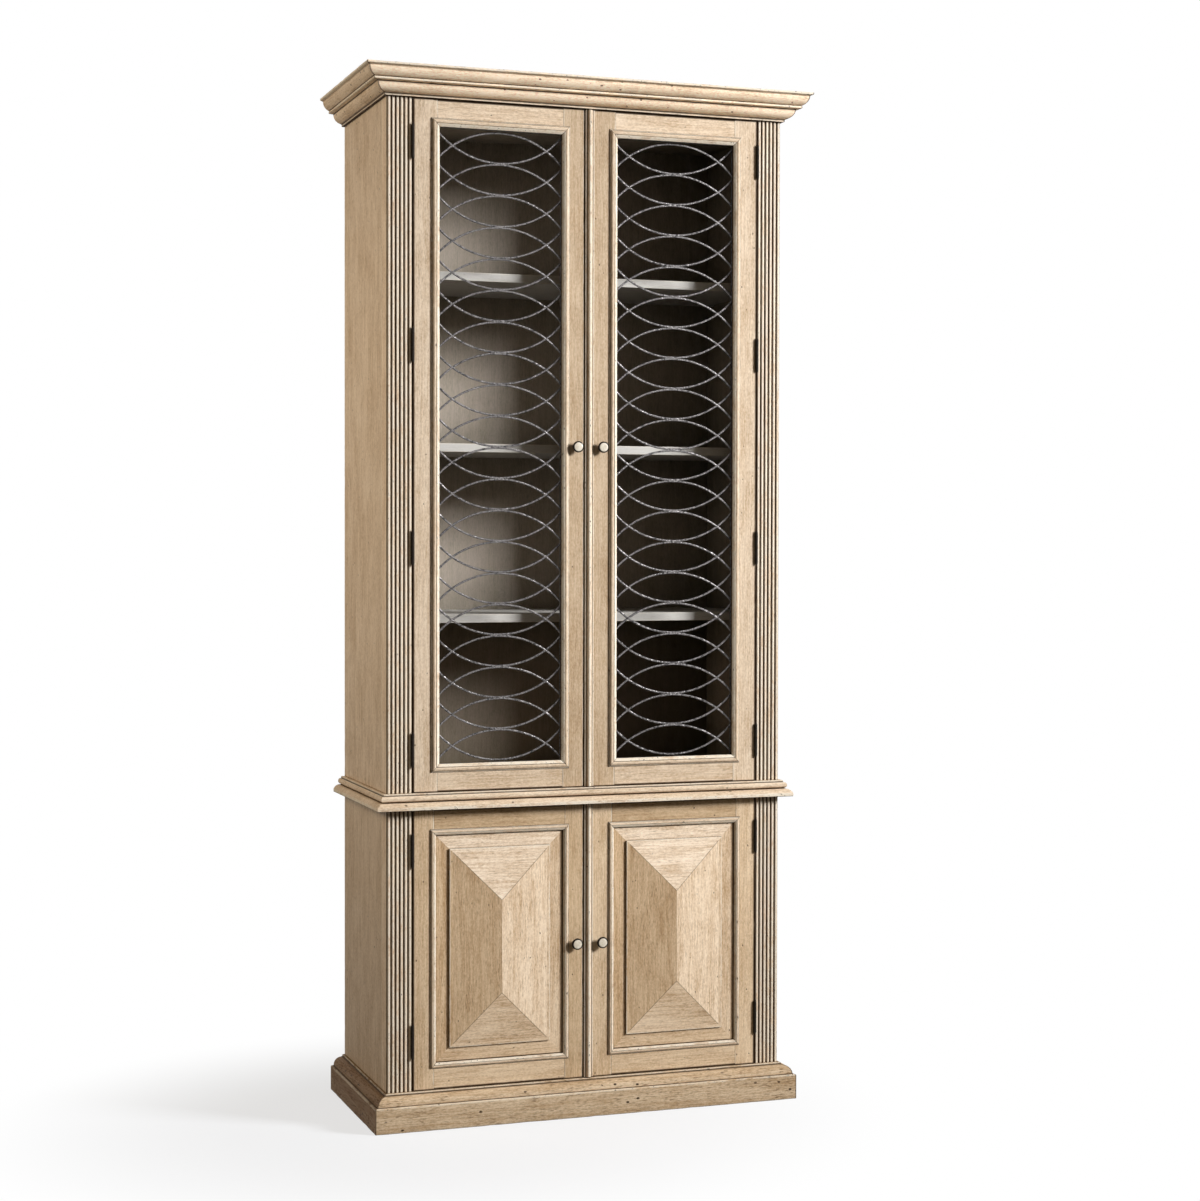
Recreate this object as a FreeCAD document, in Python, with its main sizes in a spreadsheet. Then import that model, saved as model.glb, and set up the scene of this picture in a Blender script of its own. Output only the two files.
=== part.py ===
# Display cabinet in two cases: grille doors above, raised-panel doors below, reeded corner posts.
# Millimetres. +Z is up, the front looks towards -Y, and the origin is the middle of the footprint
# at floor level. A right-hand piece mirrors its left-hand twin about the plane X = 0.
import FreeCAD, Part

import math
import os
import re

import Sketcher

# Driving sizes, in millimetres unless the name says share or count.
SIZES = {
    # Whole cabinet
    "case_width": 980,
    "case_depth": 425,
    "board_thickness": 18,
    "side_thickness": 19,
    "back_thickness": 8,
    "wood_fit": 0.1,
    "cut_overrun": 120,
    # Plinth
    "plinth_height": 85,
    "plinth_overhang": 35,
    "plinth_board": 22,
    "plinth_ledge": 28,
    "ledge_depth": 40,
    "foot_radius": 16,
    "foot_height": 8,
    "foot_stem_radius": 4,
    "foot_inset": 48,
    # Lower case
    "base_height": 652,
    "base_top_thickness": 18,
    "base_top_overhang": 28,
    "base_shelf_rise": 300,
    "base_shelf_setback": 54,
    # Upper case
    "hutch_base_thickness": 20,
    "hutch_base_overhang": 12.5,
    "hutch_height": 1597,
    "shelf_thickness": 20,
    "shelf_setback": 68,
    "shelf_end_gap": 0.3,
    "lowest_shelf_rise": 409,
    "shelf_pitch": 401,
    "shelf_count": 3,
    "pin_hole_inset": 42,
    "shelf_pin_radius": 3,
    "shelf_pin_length": 20,
    "joining_screw_radius": 3,
    "joining_screw_length": 34,
    "joining_head_radius": 5.5,
    "joining_head_height": 3,
    "joining_screw_inset": 90,
    # Reeded corner posts
    "post_width": 60,
    "post_depth": 48,
    "reed_count": 6,
    "reed_depth": 4,
    # Cornice
    "crown_height": 66,
    "crown_overhang": 61,
    "crown_inset": 22,
    # Doors
    "door_thickness": 22,
    "door_gap": 2,
    "seam_gap": 2.5,
    "door_back_gap": 2,
    "grille_side_margin": 62,
    "grille_centre_margin": 69,
    "grille_top_margin": 61,
    "grille_bottom_margin": 64,
    "panel_side_margin": 54,
    "panel_centre_margin": 63,
    "panel_top_margin": 59,
    "panel_bottom_margin": 61,
    "upper_knob_rise": 801,
    "lower_knob_rise": 319,
    # Mouldings round the door openings
    "grille_moulding_width": 19,
    "grille_moulding_height": 8,
    "bead_width": 13,
    "bead_height": 7,
    "moulding_lip": 4,
    "grille_lip_depth": 6,
    # Seam strips
    "seam_strip_width": 22,
    "seam_strip_height": 9,
    # Grilles and what holds them
    "rebate_width": 9,
    "rebate_setback": 11,
    "grille_thickness": 3,
    "grille_fit": 0.5,
    "grille_edge_bar": 12,
    "lens_count": 20,
    "arc_width": 4.6,
    "arc_end_gap": 4.5,
    "arc_pair_offset": 3.1,
    "crossing_inset": 34.5,
    # Raised panels
    "panel_recess": 3,
    "panel_thickness": 14,
    "tongue_thickness": 6,
    "tongue_length": 9.5,
    "groove_depth": 10,
    "groove_setback": 7,
    "flat_margin": 33,
    "field_step": 5,
    "field_rise": 15,
    # Knobs
    "knob_radius": 13.5,
    "knob_projection": 17,
    "knob_spacing": 63,
    "knob_inlay_radius": 11.2,
    "knob_inlay_height": 0.7,
    "knob_screw_radius": 2,
    "knob_screw_reach": 6,
    "knob_screw_head_radius": 4.5,
    "knob_screw_head_height": 2.4,
    # Hinges
    "hinge_height": 76,
    "leaf_thickness": 1.4,
    "leaf_width": 18,
    "knuckle_radius": 4,
    "knuckle_count": 5,
    "knuckle_gap": 0.3,
    "hinge_pin_radius": 2,
    "hinge_pin_fit": 0.05,
    "hinge_tip_radius": 2.8,
    "tip_seat_share": 0.65,
    "pin_standoff": 4.2,
    "upper_hinge_count": 4,
    "upper_hinge_margin": 97.5,
    "lower_hinge_foot": 113,
    "lower_hinge_head": 93,
    "hinge_screw_pitch": 26,
    "screw_row_share": 0.55,
    "hinge_screw_radius": 1.6,
    "hinge_screw_head_radius": 3.1,
    "hinge_screw_length": 14,
    # Catches
    "catch_width": 34,
    "catch_depth": 14,
    "catch_height": 12,
    "catch_offset": 40,
    "strike_width": 26,
    "strike_height": 9,
    "strike_thickness": 1,
    "catch_gap": 0.3,
}

# Places and sizes that follow from the driving sizes.
PLACES = {
    "half_width": "case_width / 2",
    "front": "0 - (case_depth - crown_overhang) / 2",
    "back": "front + case_depth",
    "door_back": "front + door_thickness",
    "inner_front": "door_back + door_back_gap",
    "panel_front": "front + post_depth",
    "back_panel_front": "back - back_thickness",
    "inner_half": "half_width - side_thickness",
    "door_half": "half_width - post_width - door_gap",
    "base_end": "plinth_height + base_height",
    "hutch_base_foot": "base_end + base_top_thickness",
    "hutch_foot": "hutch_base_foot + hutch_base_thickness",
    "hutch_end": "hutch_foot + hutch_height",
    "shelf_front": "front + shelf_setback",
    "base_shelf_front": "front + base_shelf_setback",
    "shelf_back": "back_panel_front - shelf_end_gap",
    "base_shelf_foot": "plinth_height + board_thickness + base_shelf_rise",
    "lower_door_foot": "plinth_height + door_gap",
    "lower_door_end": "base_end - door_gap",
    "upper_door_foot": "hutch_foot + door_gap",
    "upper_door_end": "hutch_end - door_gap",
    "upper_knob_place": "upper_door_foot + upper_knob_rise",
    "lower_knob_place": "lower_door_foot + lower_knob_rise",
    "upper_hinge_span": "upper_door_end - upper_door_foot - 2 * upper_hinge_margin",
    "upper_hinge_pitch": "upper_hinge_span / (upper_hinge_count - 1)",
    "hinge_x": "half_width - post_width - door_gap / 2",
    "hinge_y": "front - pin_standoff",
    "leaf_start": "knuckle_radius + wood_fit",
    "knuckle_height": "hinge_height / knuckle_count",
}

# Moulding outlines as shares, chosen by hand, of the overhang or width and of the height.
CROWN_SHARES = ((1, 1), (1, 0.924), (0.885, 0.886), (0.62, 0.545), (0.655, 0.53), (0.655, 0.46),
                (0.46, 0.44), (0.2, 0.114), (0.123, 0.083), (0.123, 0))
CROWN_RADIUS_SHARES = {2: 0.36, 6: 0.333}
PLINTH_SHARES = ((0.17, 1), (0.17, 0.953), (0.3, 0.935), (0.8, 0.718), (0.8, 0.7), (0.943, 0.7),
                 (1, 0.677), (1, 0))
PLINTH_RADIUS_SHARES = {2: 0.224}
BASE_TOP_SHARES = ((0.5, 1), (1, 0.4), (1, 0.06), (0.96, 0))
BASE_TOP_RADIUS_SHARES = {0: 0.95}
HUTCH_BASE_SHARES = ((0.48, 1), (0.48, 0.775), (0.68, 0.75), (0.68, 0.1), (0.44, 0))
HUTCH_BASE_RADIUS_SHARES = {2: 0.364}
FRAME_MOULDING_SHARES = ((1, 0.25), (0.76, 0.75), (0.7, 0.62), (0.14, 0.5), (0.14, 0.38), (0, 0.3))
FRAME_ARC_RADIUS_SHARE = 0.33
SEAM_STRIP_SHARES = ((0, 0), (0, 0.35), (0.16, 0.42), (0.84, 0.42), (1, 0.35), (1, 0))
SEAM_ARC_RADIUS_SHARE = 0.365
KNOB_SHARES = ((0.59, 0), (0.59, 0.12), (0.41, 0.2), (0.37, 0.46), (0.8, 0.6), (1, 0.74), (1, 0.88),
               (0.91, 1), (0.84, 1), (0.84, 0.94))

DOC = FreeCAD.newDocument("display_cabinet")
ALONG_X = FreeCAD.Rotation(FreeCAD.Vector(0, 1, 0), 90)
AGAINST_X = FreeCAD.Rotation(FreeCAD.Vector(0, 1, 0), -90)
AGAINST_Y = FreeCAD.Rotation(FreeCAD.Vector(1, 0, 0), 90)
UPRIGHT = FreeCAD.Rotation()
NODES = {}


# Sheets and formulas

def make_sheet(name, cells):
    """A sheet with one alias per row."""
    sheet = DOC.addObject("Spreadsheet::Sheet", name)
    for row, (alias, content) in enumerate(cells.items(), 1):
        sheet.set(f"A{row}", alias)
        sheet.set(f"B{row}", str(content))
        sheet.setAlias(f"B{row}", alias)
    return sheet


def led(formula, sheets):
    """Formula with each name that these sheets hold led by its sheet."""
    def lead(match):
        name = match.group(0)
        holders = [sheet for sheet, cells in sheets.items() if name in cells]
        return f"{holders[0]}.{name}" if holders else name
    return re.sub(r"[a-z_]+", lead, str(formula))


def full(formula):
    """Formula as it stands outside the sheets."""
    return led(formula, {"dims": SIZES, "places": PLACES})


def make_sheets():
    """The driving sizes, the places worked out from them, and one cell for reading a formula."""
    make_sheet("dims", SIZES).recompute()
    make_sheet("places", {alias: "=" + led(formula, {"dims": SIZES}) for alias, formula in PLACES.items()})
    DOC.addObject("Spreadsheet::Sheet", "reading")
    DOC.recompute()


def measure(formula):
    """The number that a formula gives at the present sizes."""
    sheet = DOC.reading
    sheet.set("A1", "=" + full(formula))
    sheet.recompute()
    return float(sheet.get("A1"))


def count(name):
    """A driving size that is a whole number."""
    return int(round(measure(name)))


def bind(thing, prop, formula):
    """Let a formula drive one property."""
    thing.setExpression(prop, full(formula))


def place(thing, x, y, z, rotation=UPRIGHT):
    """Turn a thing and bind its place to formulas."""
    thing.Placement = FreeCAD.Placement(FreeCAD.Vector(), rotation)
    for prop, formula in zip("xyz", (x, y, z)):
        bind(thing, "Placement.Base." + prop, formula)
    return thing


# Solids

def box(name, corner, size):
    """A board: lowest corner and size along X, Y and Z, as formulas."""
    solid = DOC.addObject("Part::Box", name)
    for prop, formula in zip(("Length", "Width", "Height"), size):
        bind(solid, prop, formula)
    return place(solid, *corner)


def rod(name, radius, length, start, rotation=UPRIGHT):
    """A round bar from its start point along +Z, turned by the rotation."""
    solid = DOC.addObject("Part::Cylinder", name)
    bind(solid, "Radius", radius)
    bind(solid, "Height", length)
    return place(solid, *start, rotation)


def cone(name, radius, end_radius, length, start, rotation=UPRIGHT):
    """A tapered round bar from its start point along +Z, turned by the rotation."""
    solid = DOC.addObject("Part::Cone", name)
    bind(solid, "Radius1", radius)
    bind(solid, "Radius2", end_radius)
    bind(solid, "Height", length)
    return place(solid, *start, rotation)


def ball(name, radius, centre):
    """A ball about its centre."""
    solid = DOC.addObject("Part::Sphere", name)
    bind(solid, "Radius", radius)
    return place(solid, *centre)


def group(name, members):
    """Separate solids kept together."""
    made = DOC.addObject("Part::Compound", name)
    made.Links = members
    return made


def fuse(name, members):
    """Solids that touch, joined into one."""
    made = DOC.addObject("Part::MultiFuse", name)
    made.Shapes = members
    return made


def cut(name, base, tools):
    """The base with every tool taken out of it."""
    made = DOC.addObject("Part::Cut", name)
    made.Base = base
    made.Tool = group(name + "_tools", tools)
    return made


def copy_at(name, source, x, y, z, rotation=UPRIGHT):
    """A further copy of a solid at its own place."""
    link = DOC.addObject("App::Link", name)
    link.LinkedObject = source
    return place(link, x, y, z, rotation)


def node(name, thing):
    """Keep a solid, or a group of solids, as one named sub-part."""
    thing.Label = name
    NODES[name] = thing
    return thing


# Sketched outlines

def arc_edge(start, end, radius):
    """Anticlockwise arc of less than half a turn from start to end."""
    middle = (start + end) / 2
    chord = end - start
    left = FreeCAD.Vector(-chord.y, chord.x, 0).normalize()
    reach = math.sqrt(max(radius ** 2 - chord.Length ** 2 / 4, 0))
    centre = middle + left * reach
    start_turn = math.atan2(start.y - centre.y, start.x - centre.x)
    end_turn = math.atan2(end.y - centre.y, end.x - centre.x)
    circle = Part.Circle(centre, FreeCAD.Vector(0, 0, 1), radius)
    return Part.ArcOfCircle(circle, start_turn, end_turn)


def draw(sketch, corners, radii):
    """A closed outline, anticlockwise; radii names the edges that are arcs and their radius formulas."""
    points = [FreeCAD.Vector(measure(a), measure(b), 0) for a, b in corners]
    total = len(points)
    for i, start in enumerate(points):
        end = points[(i + 1) % total]
        edge = arc_edge(start, end, measure(radii[i])) if i in radii else Part.LineSegment(start, end)
        sketch.addGeometry(edge, False)
    for i in range(total):
        sketch.addConstraint(Sketcher.Constraint("Coincident", i, 2, (i + 1) % total, 1))
    for i, (point, formulas) in enumerate(zip(points, corners)):
        for axis, value, formula in (("X", point.x, formulas[0]), ("Y", point.y, formulas[1])):
            at = sketch.addConstraint(Sketcher.Constraint("Distance" + axis, -1, 1, i, 1, value))
            sketch.renameConstraint(at, f"corner{i}{axis}")
            bind(sketch, f"Constraints.corner{i}{axis}", formula)
    for i, formula in radii.items():
        at = sketch.addConstraint(Sketcher.Constraint("Radius", i, measure(formula)))
        sketch.renameConstraint(at, f"radius{i}")
        bind(sketch, f"Constraints.radius{i}", formula)


def sketched_body(name, plane, corners, radii):
    """A body with one outline drawn on one of its own origin planes."""
    body = DOC.addObject("PartDesign::Body", name)
    sketch = body.newObject("Sketcher::SketchObject", name + "_outline")
    support = [feature for feature in body.Origin.OriginFeatures if feature.Role == plane][0]
    sketch.AttachmentSupport = [(support, "")]
    sketch.MapMode = "FlatFace"
    draw(sketch, corners, radii)
    return body, sketch


def padded(name, plane, corners, length, radii=None):
    """Outline padded along the plane's normal: +Z from XY, +X from YZ, -Y from XZ."""
    body, sketch = sketched_body(name, plane, corners, radii or {})
    pad = body.newObject("PartDesign::Pad", name + "_pad")
    pad.Profile = sketch
    bind(pad, "Length", length)
    body.Tip = pad
    return body


def turned(name, corners):
    """Outline of (radius, height) corners turned about Z."""
    body, sketch = sketched_body(name, "XZ_Plane", corners, {})
    turn = body.newObject("PartDesign::Revolution", name + "_turn")
    turn.Profile = sketch
    turn.ReferenceAxis = (sketch, ["V_Axis"])
    turn.Angle = 360
    body.Tip = turn
    return body


def mitred_run(name, corners, radii, length, mitres):
    """A length of moulding along +X, outline in Y and Z, cut at 45 degrees where mitres says so.

    The line Y = 0 keeps its full length. An end that is mitred is cut along X = Y at the left and
    along X = length - Y at the right.
    """
    left, right = mitres
    extra = int(left) + int(right)
    run = padded(name + "_run", "YZ_Plane", corners, f"{length} + {extra} * cut_overrun", radii)
    place(run, f"0 - {int(left)} * cut_overrun", 0, 0)
    tools = []
    cutter = ("4 * cut_overrun", "4 * cut_overrun", "2 * cut_overrun")
    if left:
        tool = box(name + "_left_mitre", (0, 0, 0), cutter)
        turn = FreeCAD.Rotation(FreeCAD.Vector(0, 0, 1), 45)
        tools.append(place(tool, "0 - cut_overrun", "0 - cut_overrun", "0 - cut_overrun", turn))
    if right:
        tool = box(name + "_right_mitre", (0, 0, 0), cutter)
        turn = FreeCAD.Rotation(FreeCAD.Vector(0, 0, 1), -45)
        tools.append(place(tool, f"{length} - cut_overrun", "cut_overrun", "0 - cut_overrun", turn))
    return cut(name, run, tools)


# Plinth, cornice and moulded boards

def outward(shares, overhang, height):
    """Outline corners of a moulding that stands out towards -Y."""
    return [(f"0 - {out} * {overhang}", f"{up} * {height}") for out, up in shares]


def radii_from(shares, size, shift=0):
    """Radius formulas of the edges that are arcs; shift counts the corners put before the shares."""
    return {edge + shift: f"{share} * {size}" for edge, share in shares.items()}


def three_lengths(stem, corners, radii, foot):
    """Front, left and right lengths of a moulding round the case, mitred at the front corners."""
    left_turn = FreeCAD.Rotation(FreeCAD.Vector(0, 0, 1), -90)
    right_turn = FreeCAD.Rotation(FreeCAD.Vector(0, 0, 1), 90)
    front = mitred_run(stem + "_front", corners, radii, "case_width", (True, True))
    node(stem + "_front", place(front, "0 - half_width", "front", foot))
    left = mitred_run(stem + "_left", corners, radii, "case_depth", (False, True))
    node(stem + "_left", place(left, "0 - half_width", "back", foot, left_turn))
    right = mitred_run(stem + "_right", corners, radii, "case_depth", (True, False))
    node(stem + "_right", place(right, "half_width", "front", foot, right_turn))


def make_plinth():
    """Three moulded lengths with a ledge that carries the case, and a plain board behind."""
    corners = [("ledge_depth", "plinth_height")]
    corners += outward(PLINTH_SHARES, "plinth_overhang", "plinth_height")
    inner = "plinth_board - plinth_overhang"
    ledge_foot = "plinth_height - plinth_ledge"
    corners += [(inner, "0"), (inner, ledge_foot), ("ledge_depth", ledge_foot)]
    three_lengths("plinth", corners, radii_from(PLINTH_RADIUS_SHARES, "plinth_height", 1), "0")
    reach = "half_width + plinth_overhang - plinth_board"
    node("plinth_back", box("plinth_back", (f"0 - ({reach})", "back - plinth_board", "0"),
                            (f"2 * ({reach})", "plinth_board", ledge_foot)))


def make_cornice():
    """Three moulded lengths on top of the upper case."""
    corners = [("crown_inset", "crown_height")]
    corners += outward(CROWN_SHARES, "crown_overhang", "crown_height")
    corners += [("crown_inset", "0")]
    three_lengths("cornice", corners, radii_from(CROWN_RADIUS_SHARES, "crown_height", 1), "hutch_end")


def moulded_board(name, shares, radius_shares, overhang, thickness, foot):
    """A board with its moulded edge on the front and both sides, square at the back."""
    radii = radii_from(radius_shares, thickness, 1)
    rim = outward(shares, overhang, thickness)
    corners = [("case_depth", thickness)] + rim + [("case_depth", "0")]
    reach = f"half_width + {overhang}"
    long_way = padded(name + "_front_edge", "YZ_Plane", corners, f"2 * ({reach})", radii)
    place(long_way, f"0 - ({reach})", "front", "0")
    left = [(f"0 - half_width - {out} * {overhang}", f"{up} * {thickness}") for out, up in shares]
    right = [(f"half_width + {out} * {overhang}", f"{up} * {thickness}")
             for out, up in reversed(shares)]
    edges = len(left)
    side_radii = dict(radii_from(radius_shares, thickness))
    side_radii.update({2 * edges - 2 - edge: formula for edge, formula in side_radii.items()})
    cross_way = padded(name + "_side_edges", "XZ_Plane", left + right,
                       f"case_depth + {overhang}", side_radii)
    place(cross_way, "0", "back", "0")
    board = DOC.addObject("Part::Common", name)
    board.Base = long_way
    board.Tool = cross_way
    return place(board, "0", "0", foot)


# Cases

def notched_outline(front_half):
    """A board that is as wide as the inside and reaches between the corner posts."""
    return [("0 - inner_half", "back_panel_front"), ("0 - inner_half", "panel_front"),
            (f"0 - {front_half}", "panel_front"), (f"0 - {front_half}", "inner_front"),
            (front_half, "inner_front"), (front_half, "panel_front"),
            ("inner_half", "panel_front"), ("inner_half", "back_panel_front")]


def notched_board(name, foot):
    """Floor or roof board of a case, notched round its posts."""
    board = padded(name, "XY_Plane", notched_outline("(half_width - post_width)"), "board_thickness")
    return place(board, "0", "0", foot)


def make_sides(stem, foot, height, pin_levels):
    """Left and right side panels, drilled for the shelf pins."""
    for side, sign, edge in (("left", -1, "0 - half_width"), ("right", 1, "inner_half")):
        name = f"{stem}_{side}_side"
        panel = box(name + "_board", (edge, "panel_front", foot),
                    ("side_thickness", "case_depth - post_depth", height))
        holes = []
        for i, (y, level) in enumerate(pin_levels):
            start = f"{sign} * inner_half"
            turn = ALONG_X if sign > 0 else AGAINST_X
            holes.append(rod(f"{name}_hole{i}", "shelf_pin_radius + hinge_pin_fit",
                             "shelf_pin_length / 2 + wood_fit", (start, y, level), turn))
        node(name, cut(name, panel, holes))


def pin_places(front, top_levels, thickness):
    """Front and rear pin places under each shelf."""
    rows = []
    for level in top_levels:
        for y in (f"{front} + pin_hole_inset", "shelf_back - pin_hole_inset"):
            rows.append((y, f"{level} - {thickness} - shelf_pin_radius"))
    return rows


def make_shelf_pins(rows):
    pins = []
    for i, (y, level) in enumerate(rows):
        for side, sign in (("left", -1), ("right", 1)):
            turn = ALONG_X if sign > 0 else AGAINST_X
            start = f"{sign} * (inner_half - shelf_pin_length / 2)"
            pins.append(rod(f"shelf_pin_{side}{i}", "shelf_pin_radius", "shelf_pin_length",
                            (start, y, level), turn))
    node("shelf_pins", group("shelf_pins", pins))


def shelf(name, front, foot, thickness):
    """A loose shelf between the sides."""
    half = "(inner_half - shelf_end_gap)"
    return box(name, (f"0 - {half}", front, foot), (f"2 * {half}", f"shelf_back - ({front})", thickness))


def make_back(name, foot, height):
    """Back panel between the sides."""
    node(name, box(name, ("0 - inner_half", "back_panel_front", foot),
                   ("2 * inner_half", "back_thickness", height)))


def post_outline():
    """Outline of a corner post, front side reeded: one arc for each reed."""
    total = count("reed_count")
    corners = [("0", "post_depth")]
    corners += [(f"{i} * post_width / reed_count", "reed_depth") for i in range(total + 1)]
    corners += [("post_width", "post_depth")]
    half = "post_width / reed_count / 2"
    radius = f"(({half}) * ({half}) + reed_depth * reed_depth) / (2 * reed_depth)"
    return corners, {i + 1: radius for i in range(total)}


def make_posts(stem, foot, height, hinge_levels, cutters):
    """Left and right corner posts with the seats of the case-side hinge leaves."""
    corners, radii = post_outline()
    post = padded(stem + "_post_stock", "XY_Plane", corners, height, radii)
    pair = []
    for side, start in (("left", "0 - half_width"), ("right", "half_width - post_width")):
        stock = copy_at(f"{stem}_{side}_stock", post, start, "front", foot)
        seats = hinge_copies(f"{stem}_seat", cutters["case", side], side, hinge_levels)
        pair.append(cut(f"{stem}_{side}_post", stock, seats))
    node(stem + "_posts", group(stem + "_posts", pair))


def foot_places():
    """X and Y of the four levelling feet."""
    inset = "foot_inset"
    return [(f"{sign} * (half_width - {inset})", y) for sign in (-1, 1)
            for y in (f"front + {inset} + ledge_depth", f"back - {inset}")]


def make_base(lower_hinges, cutters):
    """Lower case: floor, sides, back, posts, shelf, moulded top, and the feet under the floor."""
    floor_end = "plinth_height + board_thickness"
    stock = notched_board("base_floor_stock", "plinth_height")
    holes = []
    feet = []
    for i, (x, y) in enumerate(foot_places()):
        holes.append(rod(f"foot_hole{i}", "foot_stem_radius + hinge_pin_fit", f"{floor_end} + cut_overrun",
                         (x, y, "0")))
        pad = rod(f"foot_pad{i}", "foot_radius", "foot_height", (x, y, "0"))
        stem = rod(f"foot_stem{i}", "foot_stem_radius", f"{floor_end} - wood_fit", (x, y, "0"))
        feet.append(fuse(f"foot{i}", [pad, stem]))
    node("base_floor", cut("base_floor", stock, holes))
    node("levelling_feet", group("levelling_feet", feet))
    shelf_end = "base_shelf_foot + shelf_thickness"
    pins = pin_places("base_shelf_front", [shelf_end], "shelf_thickness")
    make_sides("base", "plinth_height", "base_height", pins)
    make_back("base_back", "plinth_height", "base_height")
    make_posts("base", "plinth_height", "base_height", lower_hinges, cutters)
    node("base_shelf", shelf("base_shelf", "base_shelf_front", "base_shelf_foot", "shelf_thickness"))
    top = moulded_board("base_top_board", BASE_TOP_SHARES, BASE_TOP_RADIUS_SHARES, "base_top_overhang",
                        "base_top_thickness", "base_end")
    holes = [rod(f"base_top_hole{i}", "joining_screw_radius + hinge_pin_fit", "2 * cut_overrun",
                 (x, y, "base_end - cut_overrun")) for i, (x, y) in enumerate(joining_places())]
    node("base_top", cut("base_top", top, holes))
    return pins


def joining_places():
    """X and Y of the four screws between the cases."""
    return [(f"{sign} * (half_width - joining_screw_inset)", y) for sign in (-1, 1)
            for y in ("panel_front + joining_screw_inset", "back - joining_screw_inset")]


def make_joining_screws():
    """Screws up through the lower case's top into the upper case's bottom board."""
    screws = []
    for i, (x, y) in enumerate(joining_places()):
        head = rod(f"joining_head{i}", "joining_head_radius", "joining_head_height",
                   (x, y, "base_end - joining_head_height"))
        shank = rod(f"joining_shank{i}", "joining_screw_radius", "joining_screw_length", (x, y, "base_end"))
        screws.append(fuse(f"joining_screw{i}", [head, shank]))
    node("joining_screws", group("joining_screws", screws))


def make_hutch(upper_hinges, cutters):
    """Upper case: moulded bottom, sides, back, posts, roof and three shelves on pins."""
    board = moulded_board("hutch_base_board", HUTCH_BASE_SHARES, HUTCH_BASE_RADIUS_SHARES,
                          "hutch_base_overhang", "hutch_base_thickness", "hutch_base_foot")
    holes = [rod(f"hutch_base_hole{i}", "joining_screw_radius + hinge_pin_fit",
                 "joining_screw_length + wood_fit", (x, y, "base_end"))
             for i, (x, y) in enumerate(joining_places())]
    node("hutch_base", cut("hutch_base", board, holes))
    levels = [f"hutch_foot + lowest_shelf_rise + {i} * shelf_pitch" for i in range(count("shelf_count"))]
    pins = pin_places("shelf_front", levels, "shelf_thickness")
    make_sides("hutch", "hutch_foot", "hutch_height", pins)
    make_back("hutch_back", "hutch_foot", "hutch_height")
    make_posts("hutch", "hutch_foot", "hutch_height", upper_hinges, cutters)
    node("hutch_roof", notched_board("hutch_roof", "hutch_end - board_thickness"))
    boards = [shelf(f"display_shelf{i}", "shelf_front", f"{level} - shelf_thickness", "shelf_thickness")
              for i, level in enumerate(levels)]
    node("display_shelves", group("display_shelves", boards))
    return pins


# Hinges

def hinge_leaf(name, sign, own_knuckles):
    """One leaf about the pin axis, plate on the side that sign says, with its own knuckles."""
    near = "door_gap / 2" if sign > 0 else "0 - door_gap / 2 - leaf_thickness"
    half = "hinge_height / 2"
    parts = [box(name + "_plate", (near, "leaf_start", f"0 - {half}"),
                 ("leaf_thickness", "leaf_width", "hinge_height"))]
    for i in own_knuckles:
        foot = f"0 - {half} + {i} * knuckle_height + knuckle_gap / 2"
        tall = "knuckle_height - knuckle_gap"
        parts.append(box(f"{name}_tab{i}", (near, "0", foot),
                         ("leaf_thickness", "leaf_start + wood_fit", tall)))
        parts.append(rod(f"{name}_knuckle{i}", "knuckle_radius", tall, ("0", "0", foot)))
    tools = [rod(name + "_bore", "hinge_pin_radius + hinge_pin_fit", "2 * hinge_height",
                 ("0", "0", "0 - hinge_height"))]
    tools += [hinge_screw(f"{name}_hole{i}", sign, level, "hinge_pin_fit")
              for i, level in enumerate(screw_levels())]
    return cut(name, fuse(name + "_stock", parts), tools)


def screw_levels():
    """Heights of a leaf's three screws about its middle."""
    return [f"{i} * hinge_screw_pitch" for i in (-1, 0, 1)]


def hinge_screw(name, sign, level, growth):
    """Countersunk screw of a leaf; growth widens it where it is used as a hole."""
    turn = ALONG_X if sign > 0 else AGAINST_X
    start = (f"{sign} * door_gap / 2", "leaf_start + screw_row_share * leaf_width", level)
    head = cone(name + "_head", f"hinge_screw_head_radius + {growth}", f"hinge_screw_radius + {growth}",
                "leaf_thickness", start, turn)
    shank = rod(name + "_shank", f"hinge_screw_radius + {growth}", f"hinge_screw_length + {growth}",
                start, turn)
    return fuse(name, [head, shank])


def hinge_cutter(name, sign):
    """What a hinge leaf and its screws take out of the wood behind them."""
    near = "0 - wood_fit" if sign > 0 else "0 - door_gap / 2 - leaf_thickness - wood_fit"
    seat = box(name + "_seat", (near, "0 - cut_overrun", "0 - hinge_height / 2 - wood_fit"),
               ("door_gap / 2 + leaf_thickness + 2 * wood_fit",
                "cut_overrun + leaf_start + leaf_width + wood_fit", "hinge_height + 2 * wood_fit"))
    screws = [hinge_screw(f"{name}_screw{i}", sign, level, "hinge_pin_fit")
              for i, level in enumerate(screw_levels())]
    return fuse(name, [seat] + screws)


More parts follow.
